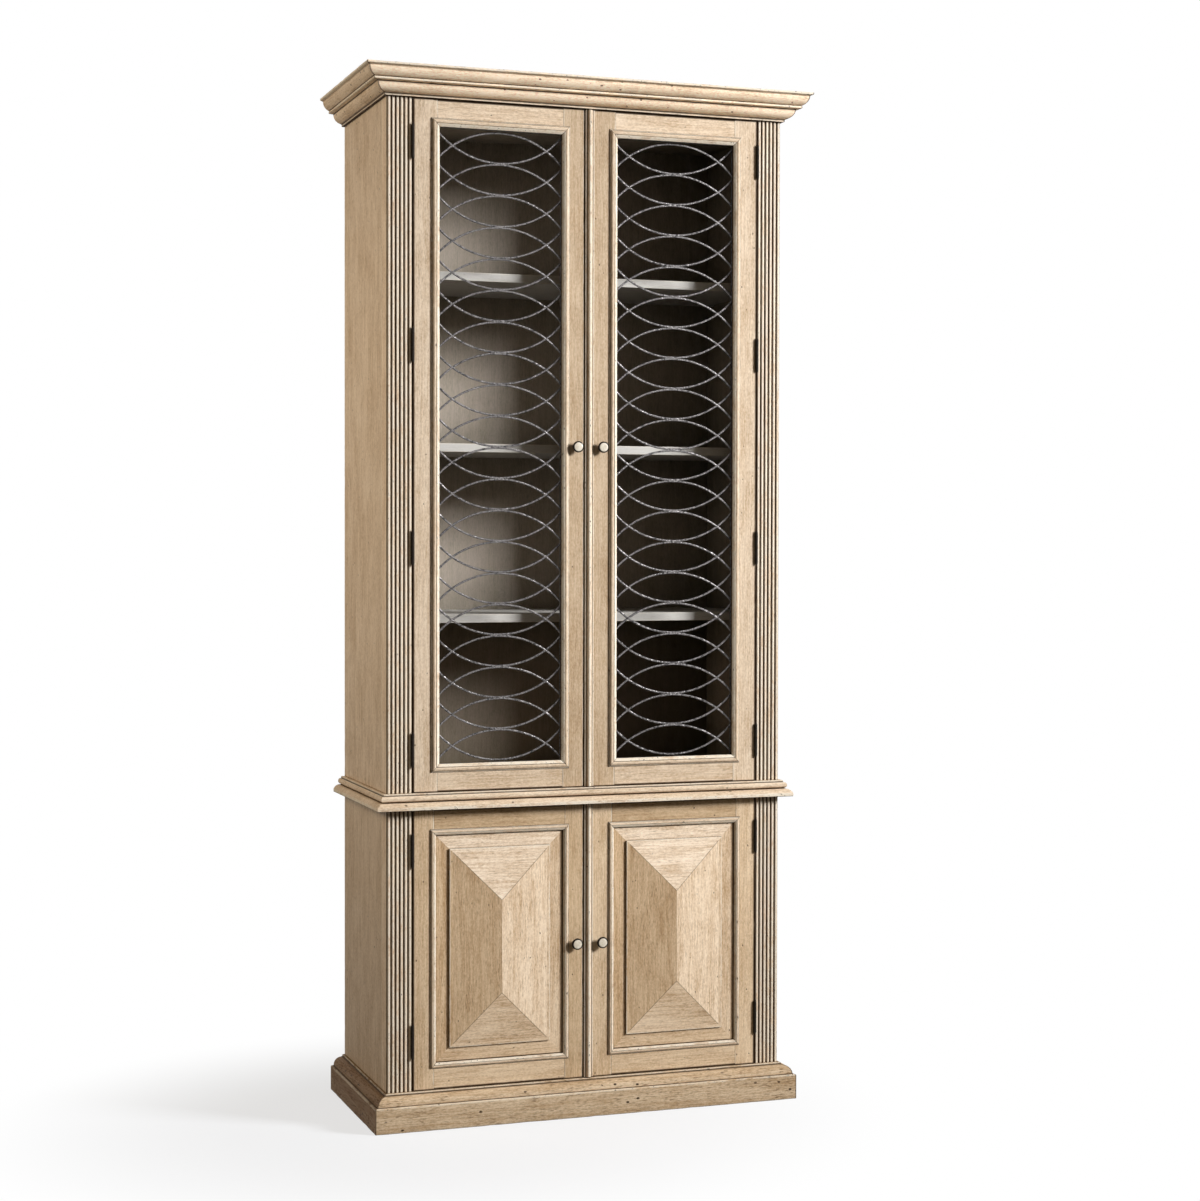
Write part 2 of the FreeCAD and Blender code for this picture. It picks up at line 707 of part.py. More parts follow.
def make_hinge_stock():
    """One leaf, one screw set and one wood cutter for each hand."""
    stock = {}
    total = count("knuckle_count")
    for owner, first in (("case", 0), ("door", 1)):
        for side, hand in (("left", 1), ("right", -1)):
            sign = hand if owner == "door" else -hand
            name = f"{owner}_{side}_leaf"
            screws = [hinge_screw(f"{name}_screw{i}", sign, level, "0")
                      for i, level in enumerate(screw_levels())]
            stock["leaf", owner, side] = hinge_leaf(name, sign, range(first, total, 2))
            stock["screws", owner, side] = group(name + "_screws", screws)
            stock[owner, side] = hinge_cutter(name + "_cutter", sign)
    half = "hinge_height / 2"
    shaft = rod("hinge_pin_shaft", "hinge_pin_radius", "hinge_height", ("0", "0", f"0 - {half}"))
    tips = [ball(f"hinge_tip{i}", "hinge_tip_radius",
                 ("0", "0", f"{sign} * ({half} + tip_seat_share * hinge_tip_radius)"))
            for i, sign in enumerate((-1, 1))]
    stock["pin"] = fuse("hinge_pin_stock", [shaft] + tips)
    return stock


def hinge_copies(stem, source, side, levels):
    """Copies of one hinge solid on one side's pin axis, one at each level."""
    sign = -1 if side == "left" else 1
    return [copy_at(f"{stem}_{side}{i}", source, f"{sign} * hinge_x", "hinge_y", level)
            for i, level in enumerate(levels)]


def make_case_hinges(stock, upper, lower):
    """Case-side leaves, pins and screws of every hinge."""
    leaves, screws, pins = [], [], []
    for side in ("left", "right"):
        levels = upper + lower
        leaves += hinge_copies("case_leaf", stock["leaf", "case", side], side, levels)
        screws += hinge_copies("case_screw", stock["screws", "case", side], side, levels)
        pins += hinge_copies("pin", stock["pin"], side, levels)
    node("case_hinge_leaves", group("case_hinge_leaves", leaves))
    node("case_hinge_screws", group("case_hinge_screws", screws))
    node("hinge_pins", group("hinge_pins", pins))


# Doors

class Door:
    """Where one door's edges, opening and hardware lie, as formulas."""

    def __init__(self, tier, side):
        self.tier = tier
        self.side = side
        self.stem = f"{tier}_{side}_door"
        self.kind = "grille" if tier == "upper" else "panel"
        self.foot = f"{tier}_door_foot"
        self.end = f"{tier}_door_end"
        self.sign = -1 if side == "left" else 1
        self.near = "(seam_strip_width / 2 + seam_gap)" if side == "left" else "(0 - seam_strip_width / 2)"
        self.centre_margin = f"{self.kind}_centre_margin"
        self.outer_margin = f"(door_half - {self.kind}_side_margin)"
        self.low = f"({self.foot} + {self.kind}_bottom_margin)"
        self.high = f"({self.end} - {self.kind}_top_margin)"
        self.moulding_width = "grille_moulding_width" if tier == "upper" else "bead_width"
        self.moulding_height = "grille_moulding_height" if tier == "upper" else "bead_height"

    def x_box(self, name, near, far, y, depth, z, height):
        """A board between two distances from the middle plane, on this door's side."""
        start = f"0 - ({far})" if self.side == "left" else f"{near}"
        return box(name, (start, y, z), (f"({far}) - ({near})", depth, height))

    def aperture(self):
        """Half-width range and height range of the hole between stiles and rails."""
        return (f"({self.centre_margin} - moulding_lip)", f"({self.outer_margin} + moulding_lip)",
                f"({self.low} - moulding_lip)", f"({self.high} + moulding_lip)")


def inlet_cutter(door, name, near, far, low, high):
    """The rebate behind a grille, or the groove round a panel, as one block."""
    if door.tier == "upper":
        return door.x_box(name, f"{near} - rebate_width", f"{far} + rebate_width",
                          "front + rebate_setback", "door_thickness", f"{low} - rebate_width",
                          f"{high} - {low} + 2 * rebate_width")
    return door.x_box(name, f"{near} - groove_depth", f"{far} + groove_depth", "front + groove_setback",
                      "tongue_thickness + 2 * wood_fit", f"{low} - groove_depth",
                      f"{high} - {low} + 2 * groove_depth")


def make_frame(door, stock, hinge_levels):
    """Two full-height stiles with two rails between them."""
    near, far, low, high = door.aperture()
    tall = f"{door.end} - {door.foot}"
    lock = door.x_box(door.stem + "_lock_stock", door.near, near, "front", "door_thickness",
                      door.foot, tall)
    at = (f"{door.sign} * knob_spacing / 2", "front + cut_overrun", f"{door.tier}_knob_place")
    knob_hole = rod(door.stem + "_knob_hole", "knob_screw_radius + hinge_pin_fit", "2 * cut_overrun",
                    at, AGAINST_Y)
    inlet = inlet_cutter(door, door.stem + "_lock_inlet", near, far, low, high)
    lock = cut(door.stem + "_lock_stile", lock, [inlet, knob_hole])
    hang = door.x_box(door.stem + "_hang_stock", far, "door_half", "front", "door_thickness",
                      door.foot, tall)
    seats = hinge_copies(door.stem + "_seat", stock["door", door.side], door.side, hinge_levels)
    inlet = inlet_cutter(door, door.stem + "_hang_inlet", near, far, low, high)
    hang = cut(door.stem + "_hinge_stile", hang, [inlet] + seats)
    node(door.stem + "_stiles", group(door.stem + "_stiles", [lock, hang]))
    rails = []
    spans = (("bottom", door.foot, f"{low} - {door.foot}"), ("top", high, f"{door.end} - {high}"))
    for part, start, height in spans:
        rail = door.x_box(f"{door.stem}_{part}_stock", near, far, "front", "door_thickness", start, height)
        inlet = inlet_cutter(door, f"{door.stem}_{part}_inlet", near, far, low, high)
        rails.append(cut(f"{door.stem}_{part}_rail", rail, [inlet]))
    node(door.stem + "_rails", group(door.stem + "_rails", rails))


def moulding_outline(width, height, lip_depth):
    """Outline of a door moulding with the lip that reaches into the opening."""
    corners = [("0", "0"), (f"{width} - moulding_lip + wood_fit", "0"),
               (f"{width} - moulding_lip + wood_fit", f"0 - {lip_depth}"), (width, f"0 - {lip_depth}")]
    corners += [(f"{across} * {width}", f"{up} * {height}") for across, up in FRAME_MOULDING_SHARES]
    return corners, {6: f"{FRAME_ARC_RADIUS_SHARE} * {width}"}


def make_moulding_stock(tier, door):
    """The level and the upright length of a door's mitred moulding."""
    lip_depth = "grille_lip_depth" if tier == "upper" else "(panel_recess - wood_fit)"
    corners, radii = moulding_outline(door.moulding_width, door.moulding_height, lip_depth)
    across = f"({door.outer_margin} - {door.centre_margin} + 2 * {door.moulding_width})"
    upward = f"({door.high} - {door.low} + 2 * {door.moulding_width})"
    return (mitred_run(tier + "_moulding_level", corners, radii, across, (True, True)),
            mitred_run(tier + "_moulding_upright", corners, radii, upward, (True, True)))


def make_moulding(door, level, upright):
    """Four mitred lengths round the opening, on the door's face."""
    left = f"({door.centre_margin} - {door.moulding_width})"
    right = f"({door.outer_margin} + {door.moulding_width})"
    if door.side == "left":
        left, right = f"(0 - {right})", f"(0 - {left})"
    low = f"{door.low} - {door.moulding_width}"
    high = f"{door.high} + {door.moulding_width}"
    spots = (("bottom", level, left, low, 0), ("right", upright, right, low, 90),
             ("top", level, right, high, 180), ("left", upright, left, high, 270))
    lengths = []
    for part, source, x, z, angle in spots:
        turn = FreeCAD.Rotation(FreeCAD.Vector(0, -1, 0), angle).multiply(AGAINST_Y)
        lengths.append(copy_at(f"{door.stem}_{part}_moulding", source, x, "front", z, turn))
    node(door.stem + "_moulding", group(door.stem + "_moulding", lengths))


def ring_part(centre, radius, bar, half_span):
    """Face of a bar bent to a radius, upper half kept, cut square at both sides of its opening."""
    discs = [Part.Face(Part.Wire(Part.makeCircle(radius + side * bar / 2, centre))) for side in (1, -1)]
    ring = discs[0].cut(discs[1])
    window = Part.makePlane(2 * half_span, radius + bar, FreeCAD.Vector(-half_span, centre.y, 0))
    return ring.common(window)


def grille_shape():
    """Edge bar and interlaced arcs as one solid; drawn flat, centred on the origin.

    Each row holds an upward and a downward arc that cross at both sides; the arcs of neighbouring
    rows touch in the middle.
    """
    width = measure("(door_half - grille_side_margin) - grille_centre_margin")
    height = measure("(upper_door_end - grille_top_margin) - (upper_door_foot + grille_bottom_margin)")
    bar = measure("arc_width")
    rows = count("lens_count")
    reach = measure("moulding_lip + rebate_width - grille_fit")
    offset = measure("arc_pair_offset")
    end_gap = measure("arc_end_gap")
    pitch = (height - 2 * end_gap + offset) / rows
    sagitta = (pitch - offset) / 2
    half_chord = width / 2 - measure("crossing_inset")
    radius = (half_chord ** 2 + sagitta ** 2) / (2 * sagitta)
    edge = measure("grille_edge_bar")
    outer_x = width / 2 + reach
    outer_z = height / 2 + reach
    half_span = outer_x - edge / 2
    rise = ring_part(FreeCAD.Vector(0, sagitta - radius, 0), radius, bar, half_span)
    fall = rise.mirror(FreeCAD.Vector(), FreeCAD.Vector(0, 1, 0))
    first = -height / 2 + end_gap + sagitta
    arcs = []
    for row in range(rows):
        lift = FreeCAD.Vector(0, first + row * pitch, 0)
        arcs += [rise.translated(lift), fall.translated(lift)]
    sheet = Part.makePlane(2 * outer_x, 2 * outer_z, FreeCAD.Vector(-outer_x, -outer_z, 0))
    hole = Part.makePlane(2 * (outer_x - edge), 2 * (outer_z - edge),
                          FreeCAD.Vector(edge - outer_x, edge - outer_z, 0))
    depth = FreeCAD.Vector(0, 0, -measure("grille_thickness"))
    frame = sheet.cut(hole).extrude(depth)
    return frame.multiFuse([arc.extrude(depth) for arc in arcs]).removeSplitter().Solids[0]


def make_grille(door, shape):
    """The metal grille in its rebate, and the strips that hold it there."""
    grille = DOC.addObject("Part::Feature", door.stem + "_grille")
    grille.Shape = shape
    middle = f"{door.sign} * ({door.centre_margin} + {door.outer_margin}) / 2"
    place(grille, middle, "front + rebate_setback", f"({door.low} + {door.high}) / 2", AGAINST_Y)
    node(door.stem + "_grille", grille)
    near, far, low, high = door.aperture()
    strip = "(rebate_width - grille_fit)"
    y = "front + rebate_setback + grille_thickness"
    depth = "door_thickness - rebate_setback - grille_thickness"
    across = f"{far} - {near} + 2 * {strip}"
    spots = [(f"{near} - {strip}", near, f"{low}", f"{high} - {low}"),
             (far, f"{far} + {strip}", f"{low}", f"{high} - {low}"),
             (f"{near} - {strip}", f"{far} + {strip}", f"{low} - {strip}", strip),
             (f"{near} - {strip}", f"{far} + {strip}", high, strip)]
    strips = [door.x_box(f"{door.stem}_strip{i}", start, end, y, depth, z, tall)
              for i, (start, end, z, tall) in enumerate(spots)]
    node(door.stem + "_retainers", group(door.stem + "_retainers", strips))


def make_panel(door):
    """Raised panel: a plate with a tongue, a stepped field and four slopes that meet in a ridge."""
    near, far, low, high = door.aperture()
    tall = f"({high} - {low} - 2 * wood_fit)"
    plate = door.x_box(door.stem + "_plate", f"{near} + wood_fit", f"{far} - wood_fit",
                       "front + panel_recess", "panel_thickness", f"{low} + wood_fit", tall)
    tongue = door.x_box(door.stem + "_tongue", f"{near} - tongue_length", f"{far} + tongue_length",
                        "front + groove_setback + wood_fit", "tongue_thickness", f"{low} - tongue_length",
                        f"{high} - {low} + 2 * tongue_length")
    half = f"(({door.outer_margin} - {door.centre_margin}) / 2 - flat_margin)"
    half_tall = f"(({door.high} - {door.low}) / 2 - flat_margin)"
    back = "panel_thickness / 2"
    gable = padded(door.stem + "_gable", "XY_Plane",
                   [(f"0 - {half}", back), (f"0 - {half}", "0 - field_step"),
                    ("0", "0 - field_step - field_rise"),
                    (half, "0 - field_step"), (half, back)], f"2 * {half_tall}")
    hip = padded(door.stem + "_hip", "YZ_Plane",
                 [(back, "0"), (back, f"2 * {half_tall}"), ("0 - field_step", f"2 * {half_tall}"),
                  ("0 - field_step - field_rise", f"2 * {half_tall} - {half}"),
                  ("0 - field_step - field_rise", half), ("0 - field_step", "0")], f"2 * {half}")
    place(hip, f"0 - {half}", "0", "0")
    field = DOC.addObject("Part::Common", door.stem + "_field")
    field.Base = gable
    field.Tool = hip
    middle = f"{door.sign} * ({door.centre_margin} + {door.outer_margin}) / 2"
    place(field, middle, "front + panel_recess", f"{door.low} + flat_margin")
    node(door.stem + "_panel", fuse(door.stem + "_panel", [plate, tongue, field]))


def make_seam_strip(door):
    """Half-round strip along the right door's free edge, over the seam."""
    corners = [(f"{across} * seam_strip_width", f"0 - {out} * seam_strip_height")
               for across, out in SEAM_STRIP_SHARES]
    strip = padded(door.stem + "_seam_strip", "XY_Plane", corners, f"{door.end} - {door.foot}",
                   {2: f"{SEAM_ARC_RADIUS_SHARE} * seam_strip_width"})
    node(door.stem + "_seam_strip", place(strip, "0 - seam_strip_width / 2", "front", door.foot))


def make_knob_stock():
    """Knob with its flat inlay, standing on Z = 0 with its axis along Z."""
    corners = [("0", "0")]
    corners += [(f"{out} * knob_radius", f"{up} * knob_projection") for out, up in KNOB_SHARES]
    seat = KNOB_SHARES[-1][1]
    corners += [("0", f"{seat} * knob_projection")]
    stock = turned("knob_stock", corners)
    socket = rod("knob_socket", "knob_screw_radius + hinge_pin_fit",
                 "knob_screw_reach + wood_fit + cut_overrun", ("0", "0", "0 - cut_overrun"))
    body = cut("knob_body", stock, [socket])
    inlay = rod("knob_inlay", "knob_inlay_radius", "knob_inlay_height",
                ("0", "0", f"{seat} * knob_projection"))
    return group("knob", [body, inlay])


def make_door_hardware(door, stock, knob, hinge_levels):
    """Knob, hinge leaves and the door's own screws and strike plate."""
    at = (f"{door.sign} * knob_spacing / 2", "front", f"{door.tier}_knob_place")
    turned_knob = copy_at(door.stem + "_knob_turned", knob, *at, AGAINST_Y)
    node(door.stem + "_knob", group(door.stem + "_knob", [turned_knob]))
    leaves = hinge_copies(door.stem + "_leaf", stock["leaf", "door", door.side], door.side, hinge_levels)
    node(door.stem + "_hinge_leaves", group(door.stem + "_hinge_leaves", leaves))
    screws = hinge_copies(door.stem + "_screw", stock["screws", "door", door.side], door.side, hinge_levels)
    shank = rod(door.stem + "_knob_shank", "knob_screw_radius", "door_thickness + knob_screw_reach",
                (at[0], "door_back", at[2]), AGAINST_Y)
    head = rod(door.stem + "_knob_head", "knob_screw_head_radius", "knob_screw_head_height",
               (at[0], "door_back + knob_screw_head_height", at[2]), AGAINST_Y)
    screws.append(fuse(door.stem + "_knob_screw", [shank, head]))
    screws += strikes(door)
    node(door.stem + "_fasteners", group(door.stem + "_fasteners", screws))


# Catches

def catch_levels(tier):
    """Lowest level of each catch block, and how far its plate sits above the block's middle.

    The upper case has one under its roof and one on its floor, the lower case one under its top.
    """
    if tier == "upper":
        return [("hutch_end - board_thickness - catch_height", "0"), ("hutch_foot", "door_gap")]
    return [("base_end - catch_height", "0")]


def strikes(door):
    """Steel plates on the door's back, facing the catches."""
    plates = []
    for i, (level, lift) in enumerate(catch_levels(door.tier)):
        start = f"{level} + catch_height / 2 + {lift} - strike_height / 2"
        plates.append(door.x_box(f"{door.stem}_strike{i}", "catch_offset - strike_width / 2",
                                 "catch_offset + strike_width / 2", "door_back", "strike_thickness",
                                 start, "strike_height"))
    return plates


def make_catches(doors):
    """Magnetic catch blocks on the cases, behind the doors' plates."""
    blocks = []
    for door in doors:
        for i, (level, _) in enumerate(catch_levels(door.tier)):
            blocks.append(door.x_box(f"{door.stem}_catch{i}", "catch_offset - catch_width / 2",
                                     "catch_offset + catch_width / 2",
                                     "door_back + strike_thickness + catch_gap",
                                     "catch_depth", level, "catch_height"))
    node("door_catches", group("door_catches", blocks))


# Assembly and files

def hinge_levels():
    """Heights of the hinges' middles on an upper and a lower door."""
    upper = [f"upper_door_foot + upper_hinge_margin + {i} * upper_hinge_pitch"
             for i in range(count("upper_hinge_count"))]
    lower = ["lower_door_foot + lower_hinge_foot", "lower_door_end - lower_hinge_head"]
    return upper, lower


def make_doors(stock, upper, lower):
    """Both pairs of doors with their hardware."""
    doors = [Door(tier, side) for tier in ("upper", "lower") for side in ("left", "right")]
    knob = make_knob_stock()
    grille = grille_shape()
    mouldings = {door.tier: make_moulding_stock(door.tier, door) for door in doors[::2]}
    for door in doors:
        levels = upper if door.tier == "upper" else lower
        make_frame(door, stock, levels)
        make_moulding(door, *mouldings[door.tier])
        if door.tier == "upper":
            make_grille(door, grille)
        else:
            make_panel(door)
        if door.side == "right":
            make_seam_strip(door)
        make_door_hardware(door, stock, knob, levels)
    return doors


def check_document():
    """Stop if any object failed or any sub-part is empty or broken."""
    for thing in DOC.Objects:
        if "Invalid" in thing.State or "Error" in thing.State:
            raise SystemExit(f"{thing.Name} failed: {thing.State}")
    for name, thing in NODES.items():
        if thing.Shape.isNull() or not thing.Shape.isValid() or not thing.Shape.Solids:
            raise SystemExit(f"{name} has no sound solid")


def write_parts():
    """One STEP file for each sub-part."""
    os.makedirs("parts", exist_ok=True)
    for name, thing in NODES.items():
        thing.Shape.exportStep(os.path.join("parts", name + ".step"))
        print(name, len(thing.Shape.Solids), "solids", round(thing.Shape.Volume / 1000, 1), "cm3")


def main():
    make_sheets()
    upper, lower = hinge_levels()
    stock = make_hinge_stock()
    make_plinth()
    pins = make_base(lower, stock)
    pins += make_hutch(upper, stock)
    make_shelf_pins(pins)
    make_joining_screws()
    make_cornice()
    make_case_hinges(stock, upper, lower)
    make_catches(make_doors(stock, upper, lower))
    DOC.recompute()
    check_document()
    write_parts()


main()
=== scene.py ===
"""A display cabinet in washed wood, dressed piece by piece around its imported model.

Builders work in millimetres in the cabinet's own frame: +Z up, +X to the viewer's right, -Y out of the front.
"""
import sys

import logging
import math
import random
from dataclasses import dataclass, field
from enum import Enum
from typing import Any, Callable, Iterable, Sequence

import bmesh
import bpy
from mathutils import Matrix, Vector, noise


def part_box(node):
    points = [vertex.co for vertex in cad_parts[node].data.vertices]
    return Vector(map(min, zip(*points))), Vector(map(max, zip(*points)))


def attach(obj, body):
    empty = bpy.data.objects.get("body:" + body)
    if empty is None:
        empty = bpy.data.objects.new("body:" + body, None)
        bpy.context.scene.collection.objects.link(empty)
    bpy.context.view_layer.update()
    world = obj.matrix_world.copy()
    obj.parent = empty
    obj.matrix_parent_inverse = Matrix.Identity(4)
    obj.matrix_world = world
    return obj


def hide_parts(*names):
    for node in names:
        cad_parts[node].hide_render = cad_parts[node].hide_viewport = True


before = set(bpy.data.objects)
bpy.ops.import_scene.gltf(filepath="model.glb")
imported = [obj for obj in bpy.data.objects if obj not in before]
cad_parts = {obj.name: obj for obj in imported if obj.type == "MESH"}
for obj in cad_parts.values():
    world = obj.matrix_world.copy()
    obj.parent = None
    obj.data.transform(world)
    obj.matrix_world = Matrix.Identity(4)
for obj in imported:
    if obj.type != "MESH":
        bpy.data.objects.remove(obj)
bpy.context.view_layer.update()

LOG = logging.getLogger("display_cabinet")
UP = Vector((0, 0, 1))
RIGHT = Vector((1, 0, 0))
REARWARD = Vector((0, 1, 0))

# Metres in a millimetre; how far glaze, partly painted shade, reaches from a gap, and how far a mark of age
# reaches from a corner, in millimetres
MM = 0.001
GAP_GLAZE_AND_SHADE = 1.3
AGE_FADE = 2.2
GRAIN_SPREAD = 9.0
SEED_REACH = 90.0

# Corners that turn less stay as they are, and edges that turn more are shaded sharp
SOFT_TURN = math.radians(20)
SHARP_TURN = math.radians(34)

# Timber repeats per metre along the grain and across it
DRIFT_SCALE = (3, 9, 9)
FIGURE_SCALE = (2.2, 36, 36)
STREAK_SCALE = (11, 290, 290)
FLECK_SCALE = (64, 500, 500)
FUZZ_SCALE = (150, 300, 300)
BLOTCH_SCALE = (7, 13, 13)

Pair = tuple[float, float]
Triple = tuple[float, float, float]
Colour = tuple[float, float, float, float]


class Along(Enum):
    """The way a board's grain runs."""

    WIDTH = RIGHT
    DEPTH = REARWARD
    HEIGHT = UP


class Hand(Enum):
    """Which side of the middle plane a piece belongs to; the value is the sign of its X."""

    LEFT = -1
    RIGHT = 1


class Tier(Enum):
    """The case that a door closes."""

    UPPER = "upper"
    LOWER = "lower"


def corners_of(node: str) -> tuple[Vector, Vector]:
    """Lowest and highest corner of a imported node, in millimetres.

    Args:
        node: Name of the node.

    Returns:
        The two corners.
    """
    low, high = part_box(node)
    return low / MM, high / MM


def door_stem(tier: Tier, hand: Hand) -> str:
    """First part of the names of a door's nodes, and its body."""
    return f"{tier.value}_{hand.name.lower()}_door"


def upright(low: Vector, high: Vector, inset: float, y: float) -> list[Vector]:
    """Four corners of an upright rectangle, from the lower left round by the lower right."""
    left, right, foot, head = low.x + inset, high.x - inset, low.z + inset, high.z - inset
    return [Vector((x, y, z)) for x, z in ((left, foot), (right, foot), (right, head), (left, head))]


# Outlines

@dataclass
class Spot:
    """One point of an outline, with its outward normal, its possible wear and its marks of age, whose glaze
    is partly painted shade.
    """

    x: float
    y: float
    normal: Vector = field(default_factory=lambda: Vector((0, 0)))
    wear: float = 0.0
    hollow: float = 0.0
    edge: float = 0.0

    @property
    def mark(self) -> tuple[float, float]:
        """How much glaze it holds, and how much rubbing it gets."""
        return self.hollow, self.edge


def arc_spots(start: Vector, end: Vector, radius: float, steps: int) -> list[Vector]:
    """Points of an anticlockwise arc of less than half a turn, both ends left out.

    Args:
        start: Where the arc starts.
        end: Where it ends.
        radius: Its radius.
        steps: Number of straight steps that stand for it.

    Returns:
        The points between the ends.
    """
    chord = end - start
    left = Vector((-chord.y, chord.x)).normalized()
    reach = math.sqrt(max(radius ** 2 - chord.length_squared / 4, 0))
    centre = (start + end) / 2 + left * reach
    first = math.atan2(start.y - centre.y, start.x - centre.x)
    turn = 2 * math.asin(min(chord.length / (2 * radius), 1))
    angles = (first + turn * i / steps for i in range(1, steps))
    return [centre + Vector((math.cos(a), math.sin(a))) * radius for a in angles]


def with_arcs(corners: Sequence[Pair], radii: dict[int, float], steps: int = 9) -> list[Vector]:
    """An anticlockwise outline with some edges bent to arcs.

    Args:
        corners: Corner points.
        radii: Radius of each edge that is an arc, by the number of its first corner.
        steps: Steps per arc.

    Returns:
        The outline's points.
    """
    points: list[Vector] = []
    spots = [Vector(corner) for corner in corners]
    for i, start in enumerate(spots):
        points.append(start)
        if i in radii:
            points += arc_spots(start, spots[(i + 1) % len(spots)], radii[i], steps)
    return points


def eased(points: Sequence[Vector], radius: float, wear: float, glazed: Sequence[int] = ()) -> list[Spot]:
    """An anticlockwise outline whose sharp corners are rounded, outer ones rubbed and inner ones glazed, the
    glaze partly painted shade in the corner.

    Args:
        points: The outline.
        radius: Radius at outer corners; inner corners get half of it.
        wear: How far wear may sink the outer corners.
        glazed: Numbers of outer corners that hold glaze because they lie in a gap, glaze that paints the
            gap's shade.

    Returns:
        The rounded outline with its normals.
    """
    steepest, edge_share, steps = 2.6, 0.4, 3
    spots: list[Spot] = []
    total = len(points)
    for i, point in enumerate(points):
        behind, ahead = point - points[i - 1], points[(i + 1) % total] - point
        before, after = behind.normalized(), ahead.normalized()
        turn = math.atan2(before.x * after.y - before.y * after.x, before.dot(after))
        normals = Vector((before.y, -before.x)), Vector((after.y, -after.x))
        if abs(turn) < SOFT_TURN:
            spots.append(Spot(point.x, point.y, (normals[0] + normals[1]).normalized()))
            continue
        outer = turn > 0
        size = radius if outer else radius * 0.5
        back = min(size * math.tan(min(abs(turn), steepest) / 2), behind.length * edge_share,
                   ahead.length * edge_share)
        start, end = point - before * back, point + after * back
        film = GAP_GLAZE_AND_SHADE if i in glazed else 0.0
        reaches = (AGE_FADE + film, film) if film else (AGE_FADE,)
        room = 3 * (back + AGE_FADE)
        if behind.length > room:
            for reach in reaches:
                far = start - before * reach
                spots.append(Spot(far.x, far.y, normals[0], 0.0, float(reach == film)))
        dark = not outer or i in glazed
        for step in range(steps + 1):
            t = step / steps
            bend = start * (1 - t) ** 2 + point * (2 * t * (1 - t)) + end * t ** 2
            normal = (normals[0] * (1 - t) + normals[1] * t).normalized()
            spots.append(Spot(bend.x, bend.y, normal, wear if outer else 0.0, float(dark), float(not dark)))
        if ahead.length > room:
            for reach in reversed(reaches):
                far = end + after * reach
                spots.append(Spot(far.x, far.y, normals[1], 0.0, float(reach == film)))
    return spots


def glaze_and_shade_foot(outline: Iterable[Spot], reach: float) -> None:
    """Let the foot of an outline, where it meets the next piece, hold glaze, partly painted shade in that
    corner.

    Args:
        outline: The outline.
        reach: How far up the glaze reaches.
    """
    for spot in outline:
        if spot.y < reach:
            spot.hollow, spot.edge = 1.0, 0.0


def profile(shares: Sequence[Pair], radius_shares: Iterable[tuple[int, float]], width: float,
            height: float, tail: Sequence[Pair], ease: float, wear: float) -> list[Spot]:
    """A moulding's outline: u outward from its seat, v upward.

    Args:
        shares: Corners as shares of width and height, from the top down.
        radius_shares: Arc radii as shares of height, by corner number.
        width: How far the moulding stands out.
        height: How tall it is.
        tail: Corners that close the outline behind, in millimetres, from the bottom up.
        ease: Radius of its edges.
        wear: How far wear may sink its edges.

    Returns:
        The rounded outline.
    """
    corners = [(-out * width, up * height) for out, up in shares] + list(tail)
    radii = {edge: share * height for edge, share in radius_shares}
    spots = eased(with_arcs(corners, radii), ease, wear)
    for spot in spots:
        spot.x = -spot.x
        spot.normal.x = -spot.normal.x
    return spots


# Meshes

@dataclass
class Grain:
    """The grain of one board: x along it, y and z across, with its own stretch of timber."""

    along: Vector
    across: Vector
    shift: Vector
    tone: float

    def at(self, point: Vector) -> Vector:
        """Find the place of a point in the timber.

        Args:
            point: A point of the board, in millimetres.

        Returns:
            Its place along and across the grain, in metres.
        """
        third = self.along.cross(self.across)
        local = Vector((point.dot(self.along), point.dot(self.across), point.dot(third)))
        return local * MM + self.shift


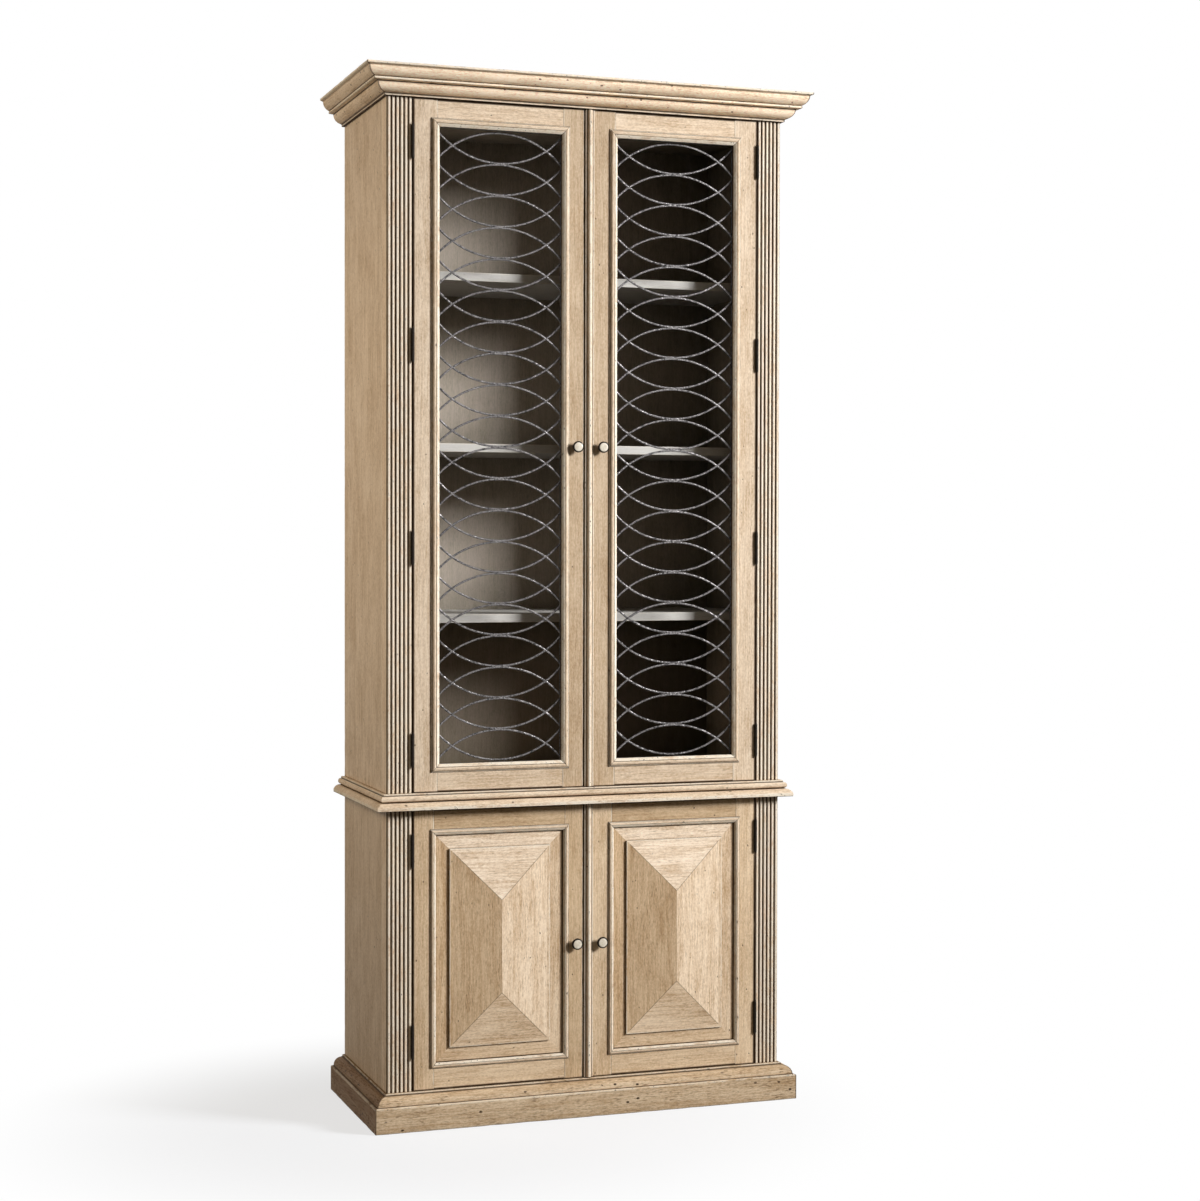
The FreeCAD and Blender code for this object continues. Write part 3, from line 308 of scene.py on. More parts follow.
class Piece:
    """One visible mesh, gathered from closed solids."""

    RING_PITCH = 16.0
    END_SHARE = 0.3
    END_INSET = 0.7
    DENT_SCALE = 0.035
    FINE_DENT_SCALE = 4.3
    FINE_DENT_SHARE = 0.6
    DENT_START = 0.05
    TONE_SPREAD = 0.025

    def __init__(self, name: str, tone: float = 1.0, joint_line: float = 1.3) -> None:
        """Start an empty piece.

        Args:
            name: The piece's name, which also seeds its chance values.
            tone: Mean brightness of its boards.
            joint_line: How far the glaze at a joint reaches.
        """
        self.name = name
        self.tone = tone
        self.joint_line = joint_line
        self.chance = random.Random(name)
        self.points: list[Vector] = []
        self.faces: list[tuple[int, ...]] = []
        self.marks: list[dict[int, Pair]] = []
        self.face_grain: list[int] = []
        self.face_finish: list[int] = []
        self.grains: list[Grain] = []

    def drawn(self, low: float, high: float) -> Vector:
        """A place drawn by chance."""
        return Vector([self.chance.uniform(low, high) for _ in range(3)])

    def timber(self, along: Vector, across: Vector, tone: float = 1.0) -> int:
        """Pick a stretch of timber for the next solid.

        Args:
            along: Direction of its grain.
            across: A direction across it.
            tone: Its own brightness.

        Returns:
            The number of the grain.
        """
        shift = self.drawn(-GRAIN_SPREAD, GRAIN_SPREAD)
        tone *= self.tone
        tone *= 1 + self.chance.uniform(-self.TONE_SPREAD, self.TONE_SPREAD)
        self.grains.append(Grain(along.normalized(), across.normalized(), shift, tone))
        return len(self.grains) - 1

    def add(self, points: Iterable[Vector], faces: Iterable[tuple[int, ...]], grain: int, finish: int = 0,
            marks: Sequence[Pair] | None = None) -> None:
        """Take in points and faces.

        Args:
            points: The points.
            faces: The faces, numbered from the first of these points.
            grain: Number of their grain.
            finish: Number of their finish.
            marks: Marks of age, one for each point.
        """
        first = len(self.points)
        self.points += points
        for face in faces:
            self.faces.append(tuple(first + i for i in face))
            self.marks.append({first + i: marks[i] for i in face} if marks else {})
            self.face_grain.append(grain)
            self.face_finish.append(finish)

    def skin(self, rings: Sequence[Sequence[Vector]], grain: int, finish: int = 0,
             marks: Sequence[Sequence[Pair]] | None = None) -> None:
        """Cover a row of rings that all have as many points, and close both ends.

        Args:
            rings: The rings.
            grain: Number of the grain.
            finish: Number of the finish.
            marks: Marks of age, ring by ring.
        """
        size = len(rings[0])
        last = (len(rings) - 1) * size
        faces: list[tuple[int, ...]] = []
        for here in range(0, last, size):
            there = here + size
            for j in range(size):
                k = (j + 1) % size
                faces.append((here + j, here + k, there + k, there + j))
        faces += [tuple(reversed(range(size))), tuple(range(last, last + size))]
        flat = [mark for ring in marks for mark in ring] if marks else None
        self.add([point for ring in rings for point in ring], faces, grain, finish, flat)

    def run(self, outline: Sequence[Spot], start: Vector, end: Vector, out: Vector, rise: Vector,
            slants: Pair = (0, 0), tone: float = 1.0, ease: float = 0.0, joints: Pair = (0, 0)) -> None:
        """A straight length of timber with one outline, worn along its edges.

        Args:
            outline: Its outline.
            start: Where the outline's zero point starts.
            end: Where it ends.
            out: Direction of the outline's x.
            rise: Direction of the outline's y.
            slants: How much longer each end gets for each millimetre of the outline's x.
            tone: Brightness of this length.
            ease: How far both ends are chamfered.
            joints: How much glaze the joints at its start and its end hold.
        """
        along = (end - start).normalized()
        grain = self.timber(along, out, tone)
        seed = self.drawn(0, SEED_REACH)
        rings, marks = [], []
        for place, inset, glaze, rub in self.stations((end - start).length, ease, joints):
            ring = []
            for spot in outline:
                base = out * spot.x + rise * spot.y
                near = start - along * (slants[0] * spot.x) + base
                far = end + along * (slants[1] * spot.x) + base
                point = near.lerp(far, place)
                normal = out * spot.normal.x + rise * spot.normal.y
                ring.append(point - normal * (inset + spot.wear * self.dent(point + seed)))
            rings.append(ring)
            marks.append([(max(spot.hollow, glaze), max(spot.edge, rub)) for spot in outline])
        self.skin(rings, grain, marks=marks)

    def stations(self, length: float, ease: float, joints: Pair) -> list[tuple[float, float, float, float]]:
        """Where a run gets its rings.

        Args:
            length: Length of the run.
            ease: Chamfer at both ends.
            joints: How much glaze each end holds.

        Returns:
            For each ring, its place from 0 to 1, how far it is drawn in, and its marks of age.
        """
        plain = (0.0, 0.0, 0.0)
        spans = max(int(length / self.RING_PITCH), 1)
        reach = max(ease, self.joint_line if any(joints) else 0.0)
        share = min(reach / length, self.END_SHARE)
        inner = [(i / spans, *plain) for i in range(spans + 1) if share < i / spans < 1 - share]
        if reach <= 0:
            return [(0.0, *plain), *inner, (1.0, *plain)]
        rub = float(ease > 0)
        inset = ease * self.END_INSET
        return [(0.0, inset, joints[0], rub), (share, *plain), *inner, (1 - share, *plain),
                (1.0, inset, joints[1], rub)]

    def dent(self, point: Vector) -> float:
        """Say how worn an edge is.

        Args:
            point: A point on the edge, in millimetres.

        Returns:
            The wear there, from 0 to about 1.
        """
        slow = noise.noise(point * self.DENT_SCALE)
        quick = noise.noise(point * (self.DENT_SCALE * self.FINE_DENT_SCALE))
        return max(0.0, slow + self.FINE_DENT_SHARE * quick - self.DENT_START)

    def board(self, low: Sequence[float], high: Sequence[float], along: Along = Along.HEIGHT,
              ease: float = 0.8, wear: float = 0.7, tone: float = 1.0, joint: float = 0.0,
              glazed: Sequence[int] = ()) -> None:
        """A plain board.

        Args:
            low: Its lowest corner.
            high: Its highest corner.
            along: The way its grain runs.
            ease: Radius of its edges.
            wear: How far wear may sink its edges.
            tone: Its brightness.
            joint: How much glaze the joints at both ends hold.
            glazed: Numbers of its long edges that lie in a gap.
        """
        axis = list(Along).index(along)
        first, second = (axis + 1) % 3, (axis + 2) % 3
        ways = (RIGHT, REARWARD, UP)
        corners = [Vector((low[first], low[second])), Vector((high[first], low[second])),
                   Vector((high[first], high[second])), Vector((low[first], high[second]))]
        self.run(eased(corners, ease, wear, glazed), ways[axis] * low[axis], ways[axis] * high[axis],
                 ways[first], ways[second], tone=tone, ease=0.0 if joint else ease, joints=(joint, joint))

    def turned(self, outline: Sequence[Pair], foot: Vector, axis: Vector, sides: int,
               finish: int = 0) -> None:
        """A closed form turned about an axis.

        Args:
            outline: Corners of radius and height, from the foot up.
            foot: Where the axis starts.
            axis: Direction of the axis.
            sides: Steps round it.
            finish: Number of its finish.
        """
        turn = UP.rotation_difference(axis).to_matrix()
        angles = [2 * math.pi * i / sides for i in range(sides)]
        rings = [[foot + turn @ Vector((math.cos(angle) * radius, math.sin(angle) * radius, height))
                  for angle in angles] for radius, height in outline]
        self.skin(rings, self.timber(axis, turn @ RIGHT), finish)

    def placed(self, materials: Sequence[bpy.types.Material], body: str, slot: str, node: str,
               painted: Callable[[Vector], bool] | None = None) -> None:
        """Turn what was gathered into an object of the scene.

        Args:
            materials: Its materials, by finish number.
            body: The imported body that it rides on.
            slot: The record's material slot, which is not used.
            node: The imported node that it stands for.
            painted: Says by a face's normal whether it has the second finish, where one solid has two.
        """
        mesh = bpy.data.meshes.new(self.name)
        mesh.from_pydata([point * MM for point in self.points], [], self.faces)
        for material in materials:
            mesh.materials.append(material)
        work = bmesh.new()
        work.from_mesh(mesh)
        number = work.faces.layers.int.new("face_number")
        for face in work.faces:
            face[number] = face.index
            face.smooth = True
        bmesh.ops.recalc_face_normals(work, faces=work.faces)
        for face in work.faces:
            face.material_index = int(painted(face.normal)) if painted else self.face_finish[face[number]]
        for edge in work.edges:
            if len(edge.link_faces) == 2 and edge.calc_face_angle(0) > SHARP_TURN:
                edge.smooth = False
        work.to_mesh(mesh)
        work.free()
        self.write_age(mesh)
        item = bpy.data.objects.new(self.name, mesh)
        bpy.context.scene.collection.objects.link(item)
        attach(item, body)
        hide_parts(node)
        LOG.info("%s: %d faces on %s", self.name, len(mesh.polygons), body)

    def write_age(self, mesh: bpy.types.Mesh) -> None:
        """Keep each corner's place in its timber, and its tone, glaze and rubbing, as attributes; tone and
        glaze also carry painted light and shade.

        Args:
            mesh: The finished mesh.
        """
        numbers = mesh.attributes["face_number"].data
        places: list[float] = []
        ages: list[float] = []
        for face in mesh.polygons:
            number = numbers[face.index].value
            grain = self.grains[self.face_grain[number]]
            marks = self.marks[number]
            for corner in face.vertices:
                places.extend(grain.at(mesh.vertices[corner].co / MM))
                ages.extend((grain.tone, *marks.get(corner, (0.0, 0.0))))
        keep_vectors(mesh, "grain", places)
        keep_vectors(mesh, "age", ages)
        mesh.attributes.remove(mesh.attributes["face_number"])


def keep_vectors(mesh: bpy.types.Mesh, name: str, values: Sequence[float]) -> None:
    """Keep a vector for each face corner of a mesh as an attribute."""
    mesh.attributes.new(name, "FLOAT_VECTOR", "CORNER").data.foreach_set("vector", values)


# Node trees

class Wiring:
    """Adds nodes to one tree and joins them."""

    def __init__(self, tree: bpy.types.NodeTree) -> None:
        """Keep the tree."""
        self.tree = tree

    def fill(self, node: bpy.types.Node, inputs: dict[Any, Any]) -> bpy.types.Node:
        """Set or join inputs of a node.

        Args:
            node: The node.
            inputs: Values or sockets by input name or number.

        Returns:
            The node.
        """
        for name, value in inputs.items():
            if isinstance(value, bpy.types.NodeSocket):
                self.tree.links.new(value, node.inputs[name])
            else:
                node.inputs[name].default_value = value
        return node

    def node(self, kind: str, inputs: dict[Any, Any] | None = None, **settings: Any) -> bpy.types.Node:
        """Add a node.

        Args:
            kind: Type of the node, without its ShaderNode prefix.
            inputs: Values or sockets by input name or number.
            settings: Properties of the node.

        Returns:
            The node.
        """
        made = self.tree.nodes.new("ShaderNode" + kind)
        for name, value in settings.items():
            setattr(made, name, value)
        return self.fill(made, inputs or {})

    def group(self, tree: bpy.types.NodeTree, inputs: dict[str, Any]) -> Any:
        """Outputs of a new node that stands for a group."""
        return self.node("Group", inputs, node_tree=tree).outputs

    def math(self, kind: str, first: Any, second: Any, clamp: bool = False) -> bpy.types.NodeSocket:
        """Result of one Math node, kept within 0 and 1 if it is clamped."""
        return self.node("Math", {0: first, 1: second}, operation=kind, use_clamp=clamp).outputs[0]

    def times(self, first: Any, second: Any, clamp: bool = False) -> bpy.types.NodeSocket:
        """Product of two values."""
        return self.math("MULTIPLY", first, second, clamp)

    def plus(self, first: Any, second: Any, clamp: bool = False) -> bpy.types.NodeSocket:
        """Sum of two values."""
        return self.math("ADD", first, second, clamp)

    def minus(self, first: Any, second: Any) -> bpy.types.NodeSocket:
        """The first value less the second."""
        return self.math("SUBTRACT", first, second)

    def larger(self, first: Any, second: Any) -> bpy.types.NodeSocket:
        """The larger of two values."""
        return self.math("MAXIMUM", first, second)

    def scaled(self, vector: Any, scale: Any) -> bpy.types.NodeSocket:
        """A vector times a scale for each axis."""
        return self.node("VectorMath", {0: vector, 1: scale}, operation="MULTIPLY").outputs[0]

    def resized(self, vector: Any, factor: Any) -> bpy.types.NodeSocket:
        """A vector or colour times one factor."""
        return self.node("VectorMath", {0: vector, "Scale": factor}, operation="SCALE").outputs[0]

    def mixed(self, factor: Any, first: Any, second: Any) -> bpy.types.NodeSocket:
        """Mix of two colours, with the second one's share as the factor."""
        return self.node("Mix", {0: factor, 6: first, 7: second}, data_type="RGBA").outputs[2]

    def bump(self, height: Any, strength: float, distance: float) -> bpy.types.NodeSocket:
        """Normal of a surface with a fine relief."""
        return self.node("Bump", {"Height": height, "Strength": strength, "Distance": distance}).outputs[0]

    def ranged(self, value: Any, low: float, high: float, start: float = 0.0,
               end: float = 1.0) -> bpy.types.NodeSocket:
        """A value mapped smoothly from one range to another.

        Args:
            value: The value.
            low: Where the range starts.
            high: Where it ends.
            start: Result at its start.
            end: Result at its end.

        Returns:
            The result's socket.
        """
        inputs = {0: value, 1: low, 2: high, 3: start, 4: end}
        return self.node("MapRange", inputs, interpolation_type="SMOOTHSTEP").outputs[0]

    def clouds(self, vector: Any, scale: float = 1.0, detail: float = 3.0, rough: float = 0.5,
               distortion: float = 0.0) -> bpy.types.NodeSocket:
        """Value of a noise texture.

        Args:
            vector: Where it is read.
            scale: Its scale.
            detail: Its octaves.
            rough: How much the small ones count.
            distortion: How far it is bent.

        Returns:
            The value's socket.
        """
        inputs = {"Vector": vector, "Scale": scale, "Detail": detail, "Roughness": rough,
                  "Distortion": distortion}
        return self.node("TexNoise", inputs).outputs[0]

    def bent(self, place: Any, read: Any, scale: float, detail: float, reach: Triple) -> bpy.types.NodeSocket:
        """A place pushed about by noise.

        Args:
            place: The place.
            read: Where the noise is read.
            scale: Its scale.
            detail: Its octaves.
            reach: How far it pushes along each axis.

        Returns:
            The new place's socket.
        """
        push = self.node("TexNoise", {"Vector": read, "Scale": scale, "Detail": detail}).outputs[1]
        return self.node("VectorMath", {0: place, 1: self.scaled(push, reach)}, operation="ADD").outputs[0]


def make_group(name: str, inputs: dict[str, Any], numbers: Sequence[str],
               body: Callable[[Wiring, Any], dict[str, Any]]) -> bpy.types.NodeTree:
    """Build a shader node group with named sockets.

    Args:
        name: Its name.
        inputs: Starting value of each input; its type says the socket's type.
        numbers: Names of its outputs beside its colour.
        body: Fills the group and gives the socket of each output.

    Returns:
        The group.
    """
    tree = bpy.data.node_groups.new(name, "ShaderNodeTree")
    for label, value in inputs.items():
        kind = "NodeSocketFloat"
        if isinstance(value, tuple):
            kind = "NodeSocketColor" if len(value) == 4 else "NodeSocketVector"
        tree.interface.new_socket(label, in_out="INPUT", socket_type=kind).default_value = value
    tree.interface.new_socket("Color", in_out="OUTPUT", socket_type="NodeSocketColor")
    for label in numbers:
        tree.interface.new_socket(label, in_out="OUTPUT", socket_type="NodeSocketFloat")
    wiring = Wiring(tree)
    entry = tree.nodes.new("NodeGroupInput")
    leave = tree.nodes.new("NodeGroupOutput")
    wiring.fill(leave, body(wiring, entry.outputs))
    return tree


def fill_timber(w: Wiring, given: Any) -> dict[str, Any]:
    """Washed timber: broad figure, short streaks and flecks of dark pores that follow the grain.

    Args:
        w: Wiring of the group.
        given: Its input sockets.

    Returns:
        The sockets of its outputs.
    """
    grain, tone = given["Grain"], given["Tone"]
    path = w.bent(grain, w.scaled(grain, DRIFT_SCALE), 1.0, 2.0, (0.02, 0.014, 0.014))
    figure = w.clouds(w.scaled(path, FIGURE_SCALE), detail=4, rough=0.6, distortion=0.6)
    streaks = w.clouds(w.scaled(path, STREAK_SCALE), detail=3, rough=0.65)
    flecks = w.clouds(w.scaled(path, FLECK_SCALE), detail=2, rough=0.55)
    fuzz = w.clouds(w.scaled(grain, FUZZ_SCALE), detail=3, rough=0.75)
    blotch = w.clouds(w.scaled(grain, BLOTCH_SCALE), detail=4, rough=0.65, distortion=0.6)
    share = w.times(w.ranged(figure, 0.38, 0.64), given["Figure"])
    share = w.plus(share, w.times(w.ranged(streaks, 0.36, 0.66), given["Streaks"]))
    share = w.plus(share, w.times(w.ranged(blotch, 0.36, 0.66), given["Blotch"]))
    share = w.plus(share, w.times(w.minus(fuzz, 0.5), given["Fuzz"]), clamp=True)
    crowd = w.plus(w.times(w.ranged(blotch, 0.40, 0.60), 0.5), 0.5)
    pores = w.times(w.times(w.ranged(flecks, 0.50, 0.70), crowd), given["Pores"], clamp=True)
    colour = w.mixed(pores, w.mixed(share, given["Pale"], given["Deep"]), given["Pore"])
    # Tones below Warm Below also turn warmer; where a tone paints shade, the painted shade comes out warm
    dim = w.math("MINIMUM", w.math("DIVIDE", tone, given["Warm Below"]), 1.0)
    dim = w.math("POWER", dim, given["Warmth"])
    warmth = w.node("CombineXYZ", {0: 1.0, 1: w.math("POWER", dim, 0.38), 2: dim}).outputs[0]
    toned = w.resized(w.scaled(colour, warmth), tone)
    height = w.minus(w.times(streaks, 0.5), w.times(pores, 0.8))
    rough = w.plus(w.times(pores, 0.25), w.times(share, 0.12))
    return {"Color": toned, "Height": height, "Rough": rough}


def fill_glaze_and_shade(w: Wiring, given: Any) -> dict[str, Any]:
    """Age and painted shade: a brown film that darkens recesses by how enclosed they are, partly glaze and
    partly painted shade, glaze lines in corners, quirks and joints, and rubbed, lighter outer edges.

    Args:
        w: Wiring of the group.
        given: Its input sockets.

    Returns:
        The sockets of its outputs.
    """
    grain, hollow, edge, amount = (given[label] for label in ("Grain", "Hollow", "Edge", "Glaze Amount"))
    cover = w.node("AmbientOcclusion", {"Distance": given["Reach"]}, samples=4).outputs[1]
    coarse = w.clouds(w.scaled(grain, (18, 40, 40)), detail=4, rough=0.7)
    fine = w.clouds(w.scaled(grain, (120, 240, 240)), detail=3, rough=0.7)
    loose = w.times(w.minus(coarse, 0.5), 0.3)
    # Painted shade, partly glaze: the film and the darkest lines follow ambient occlusion, so enclosed
    # corners and grooves darken as shade does
    film = w.times(w.ranged(w.plus(w.minus(1.0, cover), loose), 0.2, 0.8), amount, clamp=True)
    line = w.times(hollow, w.ranged(coarse, 0.2, 0.5, 0.8, 1.05))
    line = w.times(w.larger(line, w.ranged(cover, 0.05, 0.3, 1.0, 0.0)), amount, clamp=True)
    broken = w.ranged(w.plus(coarse, w.times(w.minus(fine, 0.5), 0.6)), 0.34, 0.58)
    rub = w.times(w.times(edge, broken), given["Rub Amount"], clamp=True)
    nicks = w.times(w.ranged(fine, 0.60, 0.68), w.ranged(coarse, 0.46, 0.56))
    nick = w.times(w.times(edge, nicks), given["Nick Amount"], clamp=True)
    dark = w.larger(line, nick)
    colour = w.mixed(film, w.mixed(rub, given["Color"], given["Bare"]), given["Glaze"])
    return {"Color": w.mixed(dark, colour, given["Nick"]), "Glazed": w.larger(film, dark)}


def fill_specks(w: Wiring, given: Any) -> dict[str, Any]:
    """Worm holes and small knocks: dark specks and short dents in loose clusters.

    Args:
        w: Wiring of the group.
        given: Its input sockets.

    Returns:
        The sockets of its outputs.
    """
    grain, density = given["Grain"], given["Density"]
    place = w.scaled(w.bent(grain, grain, 380.0, 1.0, (0.0035, 0.0022, 0.0022)), (0.62, 1, 1))
    cells = w.node("TexVoronoi", {"Vector": place, "Scale": density, "Randomness": 1.0}).outputs
    depth = w.math("DIVIDE", cells["Distance"], w.times(given["Size"], density))
    chosen = w.math("GREATER_THAN", w.node("SeparateColor", {0: cells["Color"]}).outputs[0], 0.45)
    crowd = w.ranged(w.clouds(w.scaled(grain, (5, 11, 11)), detail=2), 0.42, 0.52)
    dark = w.times(w.times(w.ranged(depth, 0.7, 1.25, 1.0, 0.0), chosen), crowd)
    dark = w.times(dark, given["Amount"], clamp=True)
    return {"Color": w.mixed(dark, given["Color"], given["Speck"]), "Depth": dark}


def fill_hammer(w: Wiring, given: Any) -> dict[str, Any]:
    """Hammered and patinated metal: facets, speckle and rubbed high spots.

    Args:
        w: Wiring of the group.
        given: Its input sockets.

    Returns:
        The sockets of its outputs.
    """
    place = w.resized(given["Place"], given["Scale"])
    cells = w.node("TexVoronoi", {"Vector": place, "Scale": 1.0, "Randomness": 1.0}, feature="SMOOTH_F1")
    facets = cells.outputs["Distance"]
    speckle = w.clouds(place, scale=2.4, detail=4, rough=0.7)
    share = w.ranged(w.plus(w.times(facets, 0.7), w.times(speckle, 0.6)), 0.42, 0.86)
    height = w.minus(w.times(speckle, 0.4), facets)
    return {"Color": w.mixed(share, given["Bright"], given["Dark"]), "Height": height, "Share": share}


@dataclass(frozen=True)
class Groups:
    """The shared effects."""

    timber: bpy.types.NodeTree
    glaze: bpy.types.NodeTree
    specks: bpy.types.NodeTree
    hammer: bpy.types.NodeTree

    @classmethod
    def built(cls) -> "Groups":
        """Build each group once.

        Returns:
            The four groups, each with its own named sockets.
        """
        shade = (0.5, 0.5, 0.5, 1.0)
        grain = {"Grain": (0.0, 0.0, 0.0)}
        timber = make_group("washed_timber", grain | {
            "Tone": 1.0, "Pale": shade, "Deep": shade, "Pore": shade, "Figure": 0.5, "Streaks": 0.3,
            "Blotch": 0.2, "Pores": 0.6, "Fuzz": 1.0, "Warmth": 0.65, "Warm Below": 1.0,
        }, ("Height", "Rough"), fill_timber)
        glaze = make_group("brown_glaze", grain | {
            "Hollow": 0.0, "Edge": 0.0, "Color": shade, "Glaze": shade, "Bare": shade, "Nick": shade,
            "Reach": 0.01, "Glaze Amount": 0.7, "Rub Amount": 0.4, "Nick Amount": 0.6,
        }, ("Glazed",), fill_glaze_and_shade)
        specks = make_group("worm_specks", grain | {
            "Color": shade, "Speck": shade, "Density": 40.0, "Size": 0.001, "Amount": 1.0,
        }, ("Depth",), fill_specks)
        hammer = make_group("hammered_skin", {
            "Place": (0.0, 0.0, 0.0), "Scale": 300.0, "Bright": shade, "Dark": shade,
        }, ("Height", "Share"), fill_hammer)
        return cls(timber, glaze, specks, hammer)


# Finishes

def fresh_material(name: str) -> tuple[bpy.types.Material, Wiring, bpy.types.Node]:
    """A material that holds only a shader and its output.

    Args:
        name: Name of the material.

    Returns:
        The material, its wiring and its shader.
    """
    material = bpy.data.materials.new(name)
    material.use_nodes = True
    wiring = Wiring(material.node_tree)
    return material, wiring, material.node_tree.nodes["Principled BSDF"]


@dataclass(frozen=True)
class WoodFinish:
    """Washed and glazed timber, whose glaze film is partly painted shade in corners and recesses."""

    name: str
    pale: Colour
    deep: Colour
    pore: Colour = (0.23, 0.14, 0.07, 1)
    glaze: Colour = (0.19, 0.105, 0.045, 1)
    bare: Colour = (0.92, 0.82, 0.66, 1)
    nick: Colour = (0.055, 0.030, 0.014, 1)
    figure: float = 0.18
    streaks: float = 0.34
    blotch: float = 0.20
    pores: float = 0.31
    fuzz: float = 1.5
    warmth: float = 0.65
    warm_below: float = 1.0
    # How far and how strongly the glaze film darkens recesses, partly glaze and partly painted shade
    glaze_and_shade_reach: float = 0.008
    glaze_amount: float = 0.95
    rub_amount: float = 0.85
    nick_amount: float = 0.55
    specks: float = 1.0
    speck_density: float = 60.0
    speck_size: float = 0.0014
    rough: float = 0.55
    shine: float = 0.16
    bump: float = 0.3
    bounce: float = 1.0

    def made(self, groups: Groups) -> bpy.types.Material:
        """Build the material.

        Args:
            groups: The shared effects.

        Returns:
            The material.
        """
        material, w, shader = fresh_material(self.name)
        grain = w.node("Attribute", attribute_name="grain").outputs["Vector"]
        age = w.node("SeparateXYZ", {0: w.node("Attribute", attribute_name="age").outputs["Vector"]}).outputs
        timber = w.group(groups.timber, {
            "Grain": grain, "Tone": age[0], "Pale": self.pale, "Deep": self.deep, "Pore": self.pore,
            "Figure": self.figure, "Streaks": self.streaks, "Blotch": self.blotch, "Pores": self.pores,
            "Fuzz": self.fuzz, "Warmth": self.warmth, "Warm Below": self.warm_below})
        specks = w.group(groups.specks, {
            "Grain": grain, "Color": timber["Color"], "Speck": self.nick, "Density": self.speck_density,
            "Size": self.speck_size, "Amount": self.specks})
        glaze = w.group(groups.glaze, {
            "Grain": grain, "Hollow": age[1], "Edge": age[2], "Color": specks["Color"], "Glaze": self.glaze,
            "Bare": self.bare, "Nick": self.nick, "Reach": self.glaze_and_shade_reach,
            "Glaze Amount": self.glaze_amount, "Rub Amount": self.rub_amount,
            "Nick Amount": self.nick_amount})
        rough = w.plus(w.plus(timber["Rough"], self.rough), w.times(glaze["Glazed"], 0.12), clamp=True)
        height = w.minus(timber["Height"], w.times(specks["Depth"], 2.0))
        colour = glaze["Color"]
        if self.bounce < 1:
            diffuse = w.node("LightPath").outputs["Is Diffuse Ray"]
            colour = w.mixed(diffuse, colour, w.resized(colour, self.bounce))
        w.fill(shader, {"Base Color": colour, "Roughness": rough, "Specular IOR Level": self.shine,
                        "Normal": w.bump(height, self.bump, 0.0006)})
        return material


@dataclass(frozen=True)
class MetalFinish:
    """Patinated metal."""

    name: str
    bright: Colour
    dark: Colour
    scale: float = 300.0
    rough: float = 0.42
    metallic: float = 0.85
    shine: float = 0.5
    bump: float = 0.5

    def made(self, groups: Groups) -> bpy.types.Material:
        """Build the material.

        Args:
            groups: The shared effects.

        Returns:
            The material.
        """
        material, w, shader = fresh_material(self.name)
        hammer = w.group(groups.hammer, {"Place": w.node("TexCoord").outputs["Object"], "Scale": self.scale,
                                         "Bright": self.bright, "Dark": self.dark})
        rough = w.plus(w.times(hammer["Share"], 0.2), self.rough)
        normal = w.bump(hammer["Height"], self.bump, 0.0005)
        w.fill(shader, {"Base Color": hammer["Color"], "Roughness": rough, "Metallic": self.metallic,
                        "Specular IOR Level": self.shine, "Normal": normal})
        return material


@dataclass(frozen=True)
class SmoothFinish:
    """A smooth, slightly clouded skin, such as an inlay or moulded plastic."""

    name: str
    colour: Colour
    shade: Colour
    scale: float = 120.0
    rough: float = 0.3
    coat: float = 0.0

    def made(self) -> bpy.types.Material:
        """Build the material.

        Returns:
            The material.
        """
        material, w, shader = fresh_material(self.name)
        place = w.node("TexCoord").outputs["Object"]
        cloud = w.ranged(w.clouds(place, scale=self.scale, detail=4, rough=0.6), 0.35, 0.65)
        fine = w.clouds(place, scale=self.scale * 14, detail=2)
        w.fill(shader, {"Base Color": w.mixed(cloud, self.colour, self.shade), "Coat Weight": self.coat,
                        "Roughness": w.plus(w.times(cloud, 0.12), self.rough),
                        "Normal": w.bump(fine, 0.12, 0.0002)})
        return material


